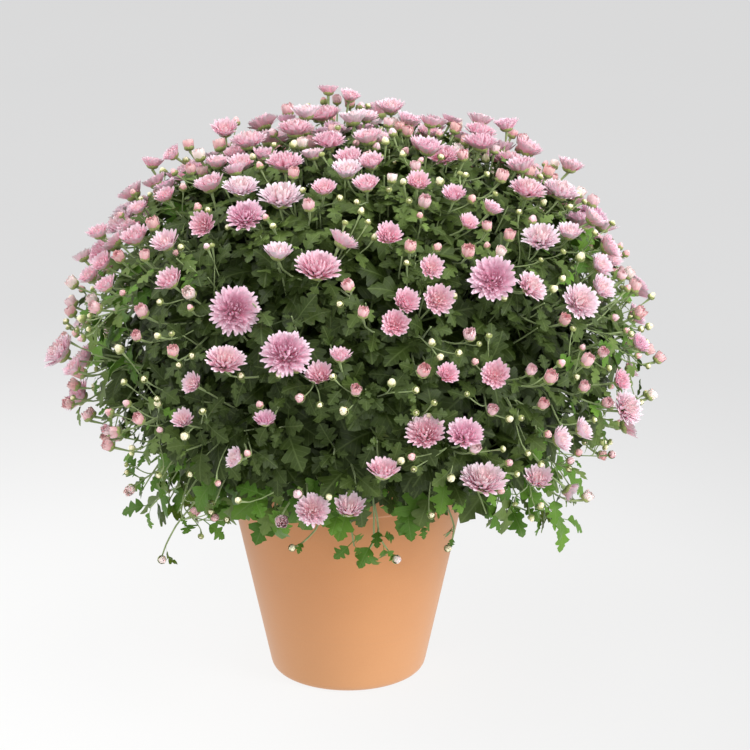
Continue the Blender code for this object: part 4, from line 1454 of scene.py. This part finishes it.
def crown_path(_, rng):
    """A leafy shoot up into the crown."""
    direction = random_direction(rng, LOWEST_CROWN_SHOOT)
    place = dome_point(direction, rng.uniform(*CROWN_LEVELS))
    return branch_path(direction, dome_level(place - BUSH_CENTRE), dome_normal(place))


def point_before_pot(x, y, forward):
    """The place that the photograph shows at a pixel, this far in front of the pot's axis."""
    eye, ray = view_ray(x, y)
    return eye + ray * ((POT_AXIS.y - forward - eye.y) / ray.y)


def hanging_path(pixels, forward):
    """A shoot from the nearest stem that runs through places in front of the pot."""
    places = [point_before_pot(x, y, forward) for x, y in pixels]
    lean, start = nearest_stem(places[0])
    first = (places[1] - places[0]).normalized()
    path = bent_line(start, (lean + FORWARD).normalized(), first, places[0], PATH_POINTS // 2)
    for i, (here, there) in enumerate(zip(places, places[1:])):
        after = places[i + 2] if i + 2 < len(places) else there
        leave = (there - path[-2]).normalized() if i else first
        arrive = (after - here).normalized()
        path += bent_line(here, leave, arrive, there, STALK_POINTS)[1:]
    return path


def dress_hanging(foliage, tools):
    """Stalks that hang in front of the pot, with a bud or small flower at the tip of most."""
    rng = random.Random(HANGING_SEED)
    lines, petals, cups = Lines(), Marks(), Marks()
    for pixels, forward, width, tint, leaves in HANGING:
        forward *= MM
        path = hanging_path(pixels, forward)
        facing = (path[-1] - path[-2]).normalized()
        if width:
            facing = (facing * HANGING_FOLLOWS_STALK + toward_eye() + HANGING_TURN).normalized()
            head = Head(path[-1] + facing * width * MM / 2 * NECK_DEPTH, width * MM)
            head.facing = facing
            put_head(head, path[-1], petals, cups, tools, rng, tint)
        lines.put(path, *STALK_RADII, STALK_FLARE if width else 0.0)
        sizes = HANGING_LEAF_SIZES if forward > FOOT_RADIUS else SIDE_LEAF_SIZES
        # The leaves of hanging shoots all get the bright green of painted back-light
        foliage.line_path(path, leaves, sizes, first=HANGING_FIRST_LEAF if width else FIRST_LEAF, backlit=True)
    finish_piece("hanging_petals", placed(petals, tools["heads"], tools["petal"], tools), "petal", "foliage")
    finish_piece("hanging_stalks", greens(lines, cups, tools), "leaf", "foliage")


def dress_foliage(sprays, heads, tools):
    """The leaves of every shoot and spray, and the stems that carry them."""
    rng = random.Random(LEAF_SEED)
    foliage = Foliage(heads, rng)
    lines = Lines()
    for make_path, shoots, leaves, sizes in (
        (side_path, SHOOT_COUNT, SHOOT_LEAVES, LEAF_SIZES),
        (fringe_path, FRINGE_COUNT, FRINGE_LEAVES, FRINGE_LEAF_SIZES),
        (crown_path, CROWN_SHOOTS, SHOOT_LEAVES, LEAF_SIZES),
    ):
        for i in range(shoots):
            path = make_path(i, rng)
            if near_pot(path[-1]):
                continue
            path = [p for p in path if not near_pot(p)]
            lines.put(path, *SHOOT_RADII)
            foliage.line_path(path, leaves, sizes)
    for spray in sprays:
        foliage.line_path(spray.branch, BRANCH_LEAVES, BRANCH_LEAF_SIZES, first=BRANCH_FIRST_LEAF)
        for stalk in spray.stalks:
            foliage.line_path(stalk[:-1], STALK_LEAVES, STALK_LEAF_SIZES, STALK_SPACING, STALK_FIRST_LEAF)
    dress_hanging(foliage, tools)
    for foot, lean, top in stem_lines():
        stem = bent_line(foot - UP * STEM_SUNK, UP, lean, top, STEM_POINTS)
        lines.put(stem, STEM_RADIUS, STEM_RADIUS * STEM_TAPER)
    for i, marks in enumerate(foliage.sectors, 1):
        finish_piece(f"leaves_{i}", placed(marks, tools["leaves"], tools["leaf"], tools), "leaf", "foliage")
    finish_piece("stems", greens(lines, Marks(), tools), "leaf", "foliage")


def inner_radius(height):
    """The pot's inner radius at a height, its wall being even."""
    slope = (SHOULDER_RADIUS - FOOT_RADIUS) / LEDGE_HEIGHT
    return FOOT_RADIUS + slope * height - POT_WALL


def rounded(profile):
    """The points of a profile of (radius, height, rounding) with its corners rounded."""
    out = []
    corners = [Vector(corner[:2]) for corner in profile]
    for i, (here, (_, _, radius)) in enumerate(zip(corners, profile)):
        if radius == 0:
            out.append(here)
            continue
        before, after = corners[i - 1], corners[(i + 1) % len(corners)]
        a = here + (before - here).normalized() * min(radius, (before - here).length * MOST_ROUNDING)
        b = here + (after - here).normalized() * min(radius, (after - here).length * MOST_ROUNDING)
        for step in range(ROUNDING_STEPS + 1):
            t = step / ROUNDING_STEPS
            out.append(a * (1 - t) ** 2 + here * 2 * t * (1 - t) + b * t * t)
    return out


def finish_round_piece(name, shape, finish, slot, node, smooth):
    """Moves a shape from the Z axis to the pot's axis and makes it a piece."""
    bmesh.ops.recalc_face_normals(shape, faces=shape.faces)
    bmesh.ops.translate(shape, vec=POT_AXIS, verts=shape.verts)
    mesh = bpy.data.meshes.new(name)
    shape.to_mesh(mesh)
    shape.free()
    mesh.materials.append(finish)
    if smooth:
        mesh.shade_smooth()
    finish_piece(name, mesh, slot, node)


def dress_pot(finish):
    """The clay pot, turned from a rounded profile."""
    outline = rounded([
        (DRAIN_RADIUS, 0, 0),
        (FOOT_RADIUS - FOOT_INSET, 0, FOOT_ROUNDING),
        (SHOULDER_RADIUS, LEDGE_HEIGHT, LEDGE_ROUNDING),
        (COLLAR_RADIUS, LEDGE_HEIGHT + COLLAR_SLOPE, COLLAR_ROUNDING),
        (RIM_RADIUS, POT_HEIGHT, RIM_ROUNDING),
        (inner_radius(POT_HEIGHT), POT_HEIGHT, RIM_ROUNDING),
        (inner_radius(FLOOR_THICKNESS), FLOOR_THICKNESS, FLOOR_ROUNDING),
        (DRAIN_RADIUS, FLOOR_THICKNESS, 0),
    ])
    dense = []
    for a, b in zip(outline, outline[1:] + outline[:1]):
        parts = max(1, int((b - a).length / POT_FACET))
        dense += [a.lerp(b, part / parts) for part in range(parts)]
    shape = bmesh.new()
    verts = [shape.verts.new((r, 0, z)) for r, z in dense]
    edges = [shape.edges.new((a, b)) for a, b in zip(verts, verts[1:] + verts[:1])]
    bmesh.ops.spin(shape, geom=verts + edges, cent=(0, 0, 0), axis=UP, angle=FULL_TURN, steps=POT_SIDES)
    bmesh.ops.remove_doubles(shape, verts=shape.verts, dist=SAME_PLACE)
    finish_round_piece("pot_clay", shape, finish, "terracotta", "pot", True)


def dress_soil(finish):
    """Crumbly soil that fills the pot."""
    rng = random.Random(SOIL_SEED)
    shape = bmesh.new()
    angles = ring_angles(SOIL_SIDES)
    reach = inner_radius(SOIL_TOP) - SOIL_GAP
    top = []
    for ring in range(SOIL_RINGS + 1):
        top.append([])
        for angle in angles if ring else angles[:1]:
            dip = SOIL_EDGE_DIP if ring == SOIL_RINGS else rng.uniform(*SOIL_DIPS) * MM
            top[-1].append(shape.verts.new(round_point(reach * ring / SOIL_RINGS, angle, SOIL_TOP - dip)))
    reach = inner_radius(FLOOR_THICKNESS) - SOIL_GAP
    low = [shape.verts.new(round_point(reach, angle, FLOOR_THICKNESS + SOIL_GAP)) for angle in angles]
    for i in range(SOIL_SIDES):
        j = (i + 1) % SOIL_SIDES
        shape.faces.new((top[0][0], top[1][i], top[1][j]))
        for inner, outer in zip(top[1:], top[2:]):
            shape.faces.new((inner[i], outer[i], outer[j], inner[j]))
        shape.faces.new((top[-1][i], low[i], low[j], top[-1][j]))
    shape.faces.new(list(reversed(low)))
    for _ in range(CRUMB_COUNT):
        add_crumb(shape, rng)
    finish_round_piece("soil_crumbs", shape, finish, "soil", "soil", False)


def add_crumb(shape, rng):
    """One lumpy crumb on the soil."""
    size = rng.uniform(*CRUMB_SIZES) * MM
    angle, out = rng.uniform(0, FULL_TURN), (inner_radius(SOIL_TOP) - CRUMB_MARGIN) * math.sqrt(rng.random())
    middle = round_point(out, angle, SOIL_TOP - CRUMB_SUNK + size * CRUMB_RISE)
    spin, axis = rng.uniform(*CRUMB_TURNS), Vector((rng.random(), rng.random(), CRUMB_TILT)).normalized()
    placing = Matrix.Translation(middle) @ Matrix.Rotation(spin, 4, axis)
    made = bmesh.ops.create_icosphere(shape, subdivisions=1, radius=size / 2, matrix=placing)
    for v in made["verts"]:
        v.co = middle + (v.co - middle) * rng.uniform(*CRUMB_LUMPS)


class Paint(Nodes):
    """A new material: its nodes and its shader."""

    def __init__(self, name, roughness, **sockets):
        self.material = bpy.data.materials.new(name)
        self.material.use_nodes = True
        super().__init__(self.material.node_tree)
        self.shader = self.tree.nodes["Principled BSDF"]
        self.set(Roughness=roughness, **sockets)

    def set(self, **sockets):
        """Feeds the shader's sockets, whose names have a blank for each underscore."""
        for label, value in sockets.items():
            self.feed(self.shader.inputs[label.replace("_", " ")], value)

    def mix(self, factor, first, second):
        """Two colours mixed by a factor."""
        node = self.add("ShaderNodeMix", {0: factor}, data_type="RGBA")
        for socket, colour in ((6, first), (7, second)):
            self.feed(node.inputs[socket], (*colour, 1) if isinstance(colour, tuple) else colour)
        return node.outputs[2]

    def tinge(self, mask, strength, body, colour):
        """A colour with some of another where a mask is."""
        return self.mix(self.math("MULTIPLY", mask, strength), body, colour)

    def mottled(self, group, scale, contrast):
        """The mask of soft patches."""
        return self.add("ShaderNodeGroup", {"Scale": scale, "Contrast": contrast}, node_tree=group).outputs[0]

    def bump(self, height, strength, distance):
        """Makes the surface rise with a value."""
        made = self.add("ShaderNodeBump", {"Height": height, "Strength": strength, "Distance": distance})
        self.set(Normal=made.outputs[0])

    def value_of(self, name):
        """A number that the mesh gives each point."""
        return self.add("ShaderNodeAttribute", attribute_name=name).outputs["Fac"]

    def where(self):
        """The place on the plant."""
        return self.add("ShaderNodeTexCoord").outputs["Object"]

    def uv(self):
        """The place on the piece's own UV map."""
        return self.add("ShaderNodeUVMap", uv_map="UVMap").outputs[0]

    def parts(self, place):
        """The X, Y and Z of a place."""
        return self.add("ShaderNodeSeparateXYZ", {0: place}).outputs


def mottle_group():
    """A shader group: soft uneven patches on Object coordinates, as one mask."""
    group = bpy.data.node_groups.new("mottle", "ShaderNodeTree")
    for label, side in (("Scale", "INPUT"), ("Contrast", "INPUT"), ("Mask", "OUTPUT")):
        group.interface.new_socket(label, in_out=side, socket_type="NodeSocketFloat")
    nodes = Nodes(group)
    given = nodes.add("NodeGroupInput").outputs
    where = nodes.add("ShaderNodeTexCoord").outputs["Object"]
    noise = nodes.add("ShaderNodeTexNoise", {"Vector": where, "Scale": given["Scale"], "Detail": 4.0})
    centred = nodes.math("SUBTRACT", noise.outputs[0], 0.5)
    mask = nodes.math("MULTIPLY_ADD", centred, given["Contrast"], 0.5, clamp=True)
    nodes.feed(nodes.add("NodeGroupOutput").inputs[0], mask)
    return group


# Petal colours of a pale pink, a rose and a lilac head at the foot, the middle and the tip of a petal, and in
# the hearts of pink and of lilac heads; the pale pink is lighter partly as painted light, for many pale heads
# sit in shade
PETAL_SHADES = (
    ((0.90, 0.60, 0.69), (0.84, 0.31, 0.41), (0.79, 0.32, 0.50)),
    ((0.90, 0.73, 0.80), (0.86, 0.48, 0.58), (0.84, 0.51, 0.66)),
    ((0.89, 0.81, 0.86), (0.87, 0.71, 0.78), (0.86, 0.69, 0.79)),
)
HEARTS = ((0.98, 0.74, 0.68), (0.74, 0.32, 0.48))
PETAL_BLUSH = (0.98, 0.82, 0.86)

# Bud colours from foot to tip: warm pink, cream and pale
WARM_BUD = ((0.80, 0.36, 0.32), (0.82, 0.52, 0.48))
WARM_BUD_HEART = (0.84, 0.40, 0.42)
CREAM_BUD = ((0.66, 0.72, 0.22), (0.95, 0.90, 0.62))
PALE_BUD = ((0.90, 0.80, 0.60), (0.98, 0.84, 0.82))

# Colours of leaves, stalks and bracts, each from its darker to its lighter end, and of veins and stripes; the
# leaves' darker end is partly painted shade, their lighter end partly painted light, and their bright green
# is painted back-light
OLD_AND_SHADED_LEAF = ((0.019, 0.034, 0.004), (0.034, 0.058, 0.007))
YOUNG_AND_LIT_LEAF = ((0.108, 0.172, 0.034), (0.180, 0.265, 0.066))
BACKLIT_LEAF = ((0.058, 0.145, 0.012), (0.135, 0.280, 0.030))
LEAF_VEIN = (0.22, 0.30, 0.10)
STALK_GREEN = ((0.21, 0.29, 0.10), (0.37, 0.47, 0.20))
BRACT_GREEN = ((0.19, 0.23, 0.05), (0.42, 0.46, 0.13))
BRACT_STRIPE = (0.10, 0.18, 0.05)
BRACT_PATCH = (0.42, 0.50, 0.22)
BRACT_STRIPES = 12

# Colours of the clay and of the soil
CLAY = ((0.580, 0.226, 0.069), (0.685, 0.292, 0.104))
CLAY_LINE = (0.55, 0.25, 0.11)
# The paler colour towards the foot is painted light from the bright floor
CLAY_FOOT = (0.55, 0.30, 0.142)
CLAY_GRAIN = (0.84, 0.52, 0.30)
PEAT = ((0.022, 0.014, 0.009), (0.075, 0.048, 0.030))
PEAT_CRUMB = (0.14, 0.10, 0.07)

# Scale and contrast of each material's mottling; the clay and the soil have a finer one too
PETAL_MOTTLE = (90, 1.6)
LEAF_MOTTLE = (60, 2.2)
STALK_MOTTLE = (120, 2.5)
BRACT_MOTTLE = (150, 2.0)
CLAY_MOTTLE = (6, 2.4)
CLAY_FINE = (900, 1.4)
PEAT_MOTTLE = (160, 2.5)
PEAT_FINE = (900, 2.0)

# How strongly each surface rises with its pattern, and how far in metres
PETAL_BUMP = (0.15, 0.0002)
LEAF_BUMP = (0.4, -0.0005)
STALK_BUMP = (0.3, 0.0003)
BRACT_BUMP = (0.3, 0.0002)
CLAY_BUMP = (0.16, 0.0004)
PEAT_BUMP = (0.6, 0.001)

# How much of a second colour each pattern brings
HEART_SHARE = 0.45
STREAK_SHARE = 0.10
BLUSH_SHARE = 0.10
BUD_HEART_SHARE = 0.7
LEAST_WARM_SHARE = 0.3
VEIN_SHARE = 0.20
STRIPE_SHARE = 0.3
PATCH_SHARE = 0.25
LINE_SHARE = 0.10
FOOT_SHARE = 0.40
GRAIN_SHARE = 0.10
CRUMB_SHARE = 0.3

# Between which numbers of a head its petals turn to rose and to lilac, and its heart to lilac
ROSE_FADE = (0.0, 0.45)
LILAC_FADE = (0.55, 1.0)
HEART_FADE = (0.35, 0.75)

# Which layers of petals are the heart, and how far along a petal the colours of flowers and of buds change
HEART_LAYERS = (0.55, 1.0)
PETAL_MIDDLE = 0.5
WARM_FADE = (0.2, 1.0)
CREAM_FADE = (0.1, 0.7)
PALE_FADE = (0.1, 0.9)

# Veins: where the midrib fades aside, and how slanted, many, wide and strong the others are; leaves get pale
# only when their number is high
MIDRIB_FADE = (0.010, 0.030)
VEIN_SLANT = 0.85
VEIN_COUNT = 6.5
VEIN_FADE = (0.03, 0.12)
VEIN_STRENGTH = 0.55
PALE_LEAF_POWER = 2.6
LEAF_ROUGHNESS = (0.36, 0.56)

# Where along a bract its colour changes, and where lines and the paler foot of the clay, painted light from
# the bright floor, fade
BRACT_FADE = (0.0, 1.3)
LINE_FADE = (0.3, 0.7)
FOOT_FADE = (0.0, 0.16)
LINE_HEIGHT = 0.6
GRAIN_HEIGHT = 0.5
CLAY_ROUGHNESS = (0.5, 0.7)


def shaded(paint, own, pale, rose, lilac):
    """A head's own shade between pale pink, rose and lilac."""
    warm = paint.mix(paint.spread(own, *ROSE_FADE), pale, rose)
    return paint.mix(paint.spread(own, *LILAC_FADE), warm, lilac)


def petal_material(mottle):
    """Pink petals: pale at the tips, deeper towards the foot and the heart; buds are cream or warm pink."""
    paint = Paint("petal_pink", 0.55, Subsurface_Weight=0.4, Sheen_Weight=0.15)
    paint.shader.subsurface_method = "BURLEY"
    paint.set(Subsurface_Radius=(1.0, 0.6, 0.7), Subsurface_Scale=0.003)
    uv = paint.uv()
    along, layer, tint = paint.parts(uv)[1], paint.value_of("layer"), paint.value_of("tint")
    tints = (TINT_WARM, TINT_CREAM, TINT_PALE)
    warm, cream, faint = [paint.math("GREATER_THAN", tint, limit - TINT_MARGIN) for limit in tints]
    warm = paint.math("SUBTRACT", warm, cream)
    own = paint.math("FRACT", tint)
    wave = {"Vector": uv, "Scale": 3.2, "Distortion": 1.5, "Detail": 1.0}
    streak = paint.add("ShaderNodeTexWave", wave).outputs[1]
    foot, middle, tip = [shaded(paint, own, *shades) for shades in PETAL_SHADES]
    body = paint.mix(paint.spread(along, 0.0, PETAL_MIDDLE), foot, middle)
    body = paint.mix(paint.spread(along, PETAL_MIDDLE, 1.0), body, tip)
    inside = paint.spread(layer, *HEART_LAYERS)
    heart = paint.mix(paint.spread(own, *HEART_FADE), *HEARTS)
    body = paint.tinge(inside, HEART_SHARE, body, heart)
    body = paint.tinge(streak, STREAK_SHARE, body, foot)
    bud = paint.mix(paint.spread(along, *WARM_FADE), *WARM_BUD)
    bud = paint.tinge(inside, BUD_HEART_SHARE, bud, WARM_BUD_HEART)
    body = paint.tinge(warm, paint.spread(own, 0.0, 1.0, LEAST_WARM_SHARE, 1.0), body, bud)
    body = paint.mix(cream, body, paint.mix(paint.spread(along, *CREAM_FADE), *CREAM_BUD))
    body = paint.mix(faint, body, paint.mix(paint.spread(along, *PALE_FADE), *PALE_BUD))
    body = paint.tinge(paint.mottled(mottle, *PETAL_MOTTLE), BLUSH_SHARE, body, PETAL_BLUSH)
    paint.set(Base_Color=body)
    paint.bump(streak, *PETAL_BUMP)
    return paint.material


def leaf_material(mottle):
    """Dark matt leaves with pale veins, each its own green, the paler ones partly with painted light and some
    bright green with painted back-light.
    """
    paint = Paint("leaf_green", 0.5, Specular_IOR_Level=0.24)
    across, along, _ = paint.parts(paint.uv())
    aside = paint.math("ABSOLUTE", paint.math("SUBTRACT", across, 0.5))
    tint = paint.value_of("tint")
    own = paint.math("FRACT", tint)
    midrib = paint.spread(aside, *MIDRIB_FADE, 1.0, 0.0)
    slant = paint.math("SUBTRACT", along, paint.math("MULTIPLY", aside, VEIN_SLANT))
    cycle = paint.math("FRACT", paint.math("MULTIPLY", slant, VEIN_COUNT))
    cycle = paint.math("ABSOLUTE", paint.math("SUBTRACT", cycle, 0.5))
    vein = paint.math("MULTIPLY", paint.spread(cycle, *VEIN_FADE, 1.0, 0.0), VEIN_STRENGTH)
    lines = paint.math("MAXIMUM", midrib, vein)
    patch = paint.mottled(mottle, *LEAF_MOTTLE)
    # The darker end is partly painted shade and the lighter end partly painted light
    dark, light = paint.mix(patch, *OLD_AND_SHADED_LEAF), paint.mix(patch, *YOUNG_AND_LIT_LEAF)
    body = paint.mix(paint.math("POWER", own, PALE_LEAF_POWER), dark, light)
    # Bright green where the tint says so: painted back-light
    backlit = paint.math("GREATER_THAN", tint, TINT_BACKLIT - TINT_MARGIN)
    body = paint.mix(backlit, body, paint.mix(own, *BACKLIT_LEAF))
    body = paint.tinge(lines, VEIN_SHARE, body, LEAF_VEIN)
    paint.set(Base_Color=body, Roughness=paint.spread(patch, 0.0, 1.0, *LEAF_ROUGHNESS))
    paint.bump(lines, *LEAF_BUMP)
    return paint.material


def stalk_material(mottle):
    """Pale green stalks, unevenly light and dark."""
    paint = Paint("stalk_green", 0.55, Sheen_Weight=0.2)
    patch = paint.mottled(mottle, *STALK_MOTTLE)
    paint.set(Base_Color=paint.mix(patch, *STALK_GREEN))
    paint.bump(patch, *STALK_BUMP)
    return paint.material


def calyx_material(mottle):
    """Olive-green bracts, lighter towards their tips, with fine stripes."""
    paint = Paint("calyx_green", 0.5, Sheen_Weight=0.15)
    round_cup, height, _ = paint.parts(paint.uv())
    stripe = paint.math("SINE", paint.math("MULTIPLY", round_cup, FULL_TURN * BRACT_STRIPES))
    body = paint.mix(paint.spread(height, *BRACT_FADE), *BRACT_GREEN)
    body = paint.mix(paint.spread(stripe, -1.0, 1.0, 0.0, STRIPE_SHARE), body, BRACT_STRIPE)
    body = paint.tinge(paint.mottled(mottle, *BRACT_MOTTLE), PATCH_SHARE, body, BRACT_PATCH)
    paint.set(Base_Color=body)
    paint.bump(stripe, *BRACT_BUMP)
    return paint.material


def clay_material(mottle):
    """Smooth fired clay with soft cloudy patches, fine grain and faint turning lines."""
    paint = Paint("terracotta", 0.62, Sheen_Weight=0.25, Sheen_Roughness=0.5)
    height = paint.parts(paint.where())[2]
    cloud, grain = paint.mottled(mottle, *CLAY_MOTTLE), paint.mottled(mottle, *CLAY_FINE)
    noise = {"W": height, "Scale": 260.0, "Detail": 3.0}
    rings = paint.add("ShaderNodeTexNoise", noise, noise_dimensions="1D").outputs[0]
    lines = paint.spread(rings, *LINE_FADE, 0.0, LINE_SHARE)
    body = paint.mix(lines, paint.mix(cloud, *CLAY), CLAY_LINE)
    # Paler towards the foot: painted light from the floor
    body = paint.mix(paint.spread(height, *FOOT_FADE, FOOT_SHARE, 0.0), body, CLAY_FOOT)
    body = paint.tinge(grain, GRAIN_SHARE, body, CLAY_GRAIN)
    paint.set(Base_Color=body, Roughness=paint.spread(cloud, 0.0, 1.0, *CLAY_ROUGHNESS))
    fine = paint.math("MULTIPLY", grain, GRAIN_HEIGHT)
    fine = paint.math("ADD", fine, paint.math("MULTIPLY", rings, LINE_HEIGHT))
    paint.bump(fine, *CLAY_BUMP)
    return paint.material


def soil_material(mottle):
    """Dark damp peat with paler crumbs."""
    paint = Paint("peat", 0.95)
    coarse, fine = paint.mottled(mottle, *PEAT_MOTTLE), paint.mottled(mottle, *PEAT_FINE)
    paint.set(Base_Color=paint.tinge(fine, CRUMB_SHARE, paint.mix(coarse, *PEAT), PEAT_CRUMB))
    paint.bump(fine, *PEAT_BUMP)
    return paint.material


# Studio: a wide floor that glows with a painted pool of light, brightest round the pot, over a dark colour
# that hides its shadows, and an even sky
FLOOR_RADIUS = 60.0
FLOOR_SIDES = 64
# The floor's painted glow: how far out it fades, where it is brightest, and its emitted colours near and far;
# under it a dark colour of its own, so that cast shadows barely show
FLOOR_BRIGHT = (0.12, 1.24)
FLOOR_BRIGHTEST = (-0.30, -0.05, 0.0)
FLOOR_GLOW = ((0.86, 0.86, 0.857), (0.612, 0.612, 0.614))
FLOOR_GREY = ((0.095, 0.095, 0.095), (0.105, 0.105, 0.105))
SKY_STRENGTH = 0.72
CAMERA_SENSOR = 36

# Soft lamps: place, size and power
LAMPS = {
    "key": ((1.9, -1.6, 1.9), 1.2, 41),
    "low": ((2.2, -1.3, 0.6), 1.0, 13),
    "top": ((0.2, -0.3, 2.4), 1.2, 16),
    "fill": ((-1.8, 0.1, 2.0), 1.6, 24),
    "front": ((0.3, -3.6, 1.4), 1.2, 13),
}


def floor_material():
    """Pale-looking matt floor that glows with painted light: a pool brightest round the pot that fades to the
    grey of the sky and hides its shadows.
    """
    paint = Paint("studio_floor", 0.95, Specular_IOR_Level=0.0, Emission_Strength=1.0)
    where = paint.where()
    ends = {0: where, 1: FLOOR_BRIGHTEST}
    distance = paint.add("ShaderNodeVectorMath", ends, operation="DISTANCE").outputs["Value"]
    noise = paint.add("ShaderNodeTexNoise", {"Vector": where, "Scale": 3.0}).outputs[0]
    # Painted light: the emitted glow fades out from the pot
    fade = paint.spread(distance, *FLOOR_BRIGHT, interpolation_type="SMOOTHSTEP")
    paint.set(Base_Color=paint.mix(noise, *FLOOR_GREY), Emission_Color=paint.mix(fade, *FLOOR_GLOW))
    return paint.material


def aim(made, place, target):
    """Puts a lamp or the camera at a place and turns it to another, and adds it to the scene."""
    made.location = place
    made.rotation_euler = (target - Vector(place)).to_track_quat("-Z", "Y").to_euler()
    bpy.context.scene.collection.objects.link(made)


def lamp(name, place, size, power):
    """A large square soft light that faces the bush and isn't itself seen."""
    light = bpy.data.lights.new(name, "AREA")
    light.size = size
    light.energy = power
    made = bpy.data.objects.new(name, light)
    made.visible_camera = False
    aim(made, place, BUSH_CENTRE)


def make_studio():
    """Pale floor, even sky, soft lamps and the camera of the photograph."""
    edge = [round_point(FLOOR_RADIUS, angle) for angle in ring_angles(FLOOR_SIDES)]
    mesh = plain_mesh("studio_floor", edge, (), [tuple(range(FLOOR_SIDES))])
    mesh.materials.append(floor_material())
    mesh_object("studio_floor", mesh)

    scene = bpy.context.scene
    scene.world = bpy.data.worlds.new("studio_light")
    scene.world.use_nodes = True
    sky = scene.world.node_tree.nodes["Background"]
    sky.inputs["Color"].default_value = (1, 1, 1, 1)
    sky.inputs["Strength"].default_value = SKY_STRENGTH
    for name, values in LAMPS.items():
        lamp(name, *values)

    lens = bpy.data.cameras.new("camera")
    lens.sensor_width = CAMERA_SENSOR
    lens.lens = CAMERA_SENSOR * VIEW_DISTANCE / (FRAME_PIXELS * PIXEL)
    scene.camera = bpy.data.objects.new("camera", lens)
    aim(scene.camera, view_axes()[0], VIEW_TARGET)
    scene.view_settings.view_transform = "Standard"


def main():
    """Dresses the pot, the soil, every spray and the leaves, and lights them."""
    mottle = mottle_group()
    finishes = {
        "petal": petal_material(mottle),
        "leaf": leaf_material(mottle),
        "stalk": stalk_material(mottle),
        "calyx": calyx_material(mottle),
    }
    dress_pot(clay_material(mottle))
    dress_soil(soil_material(mottle))

    heads = grow_heads()
    groups = group_into_sprays(heads)
    extras = small_heads(heads)
    extras += fill_room(heads + extras)
    extras += side_buds(heads + extras)
    centres = [centre for centre, _ in groups]
    more = [[] for _ in centres]
    for head in extras:
        more[nearest_centre(head, centres)].append(head)
    sprays = [Spray(centre, group, near) for (centre, group), near in zip(groups, more)]

    meshes, numbers = head_templates(finishes["petal"])
    rng = random.Random(BLOOM_SEED)
    shelves = {
        "heads": shelf("head", meshes),
        "cups": shelf("cup", [cup_mesh(CUP_RINGS, CUP_TIPS), cup_mesh(BUD_RINGS, BUD_TIPS)]),
        "leaves": shelf("leaf", [leaf_mesh(rng) for _ in range(LEAF_VARIANTS)]),
    }
    tools = {**finishes, **shelves, "numbers": numbers, "placing": placing_tree(), "greens": greens_tree()}
    for number, spray in enumerate(sprays, 1):
        dress_spray(number, spray, tools, rng)
    dress_foliage(sprays, heads + extras, tools)
    for kept in shelves.values():
        clear_shelf(kept)
    make_studio()


main()
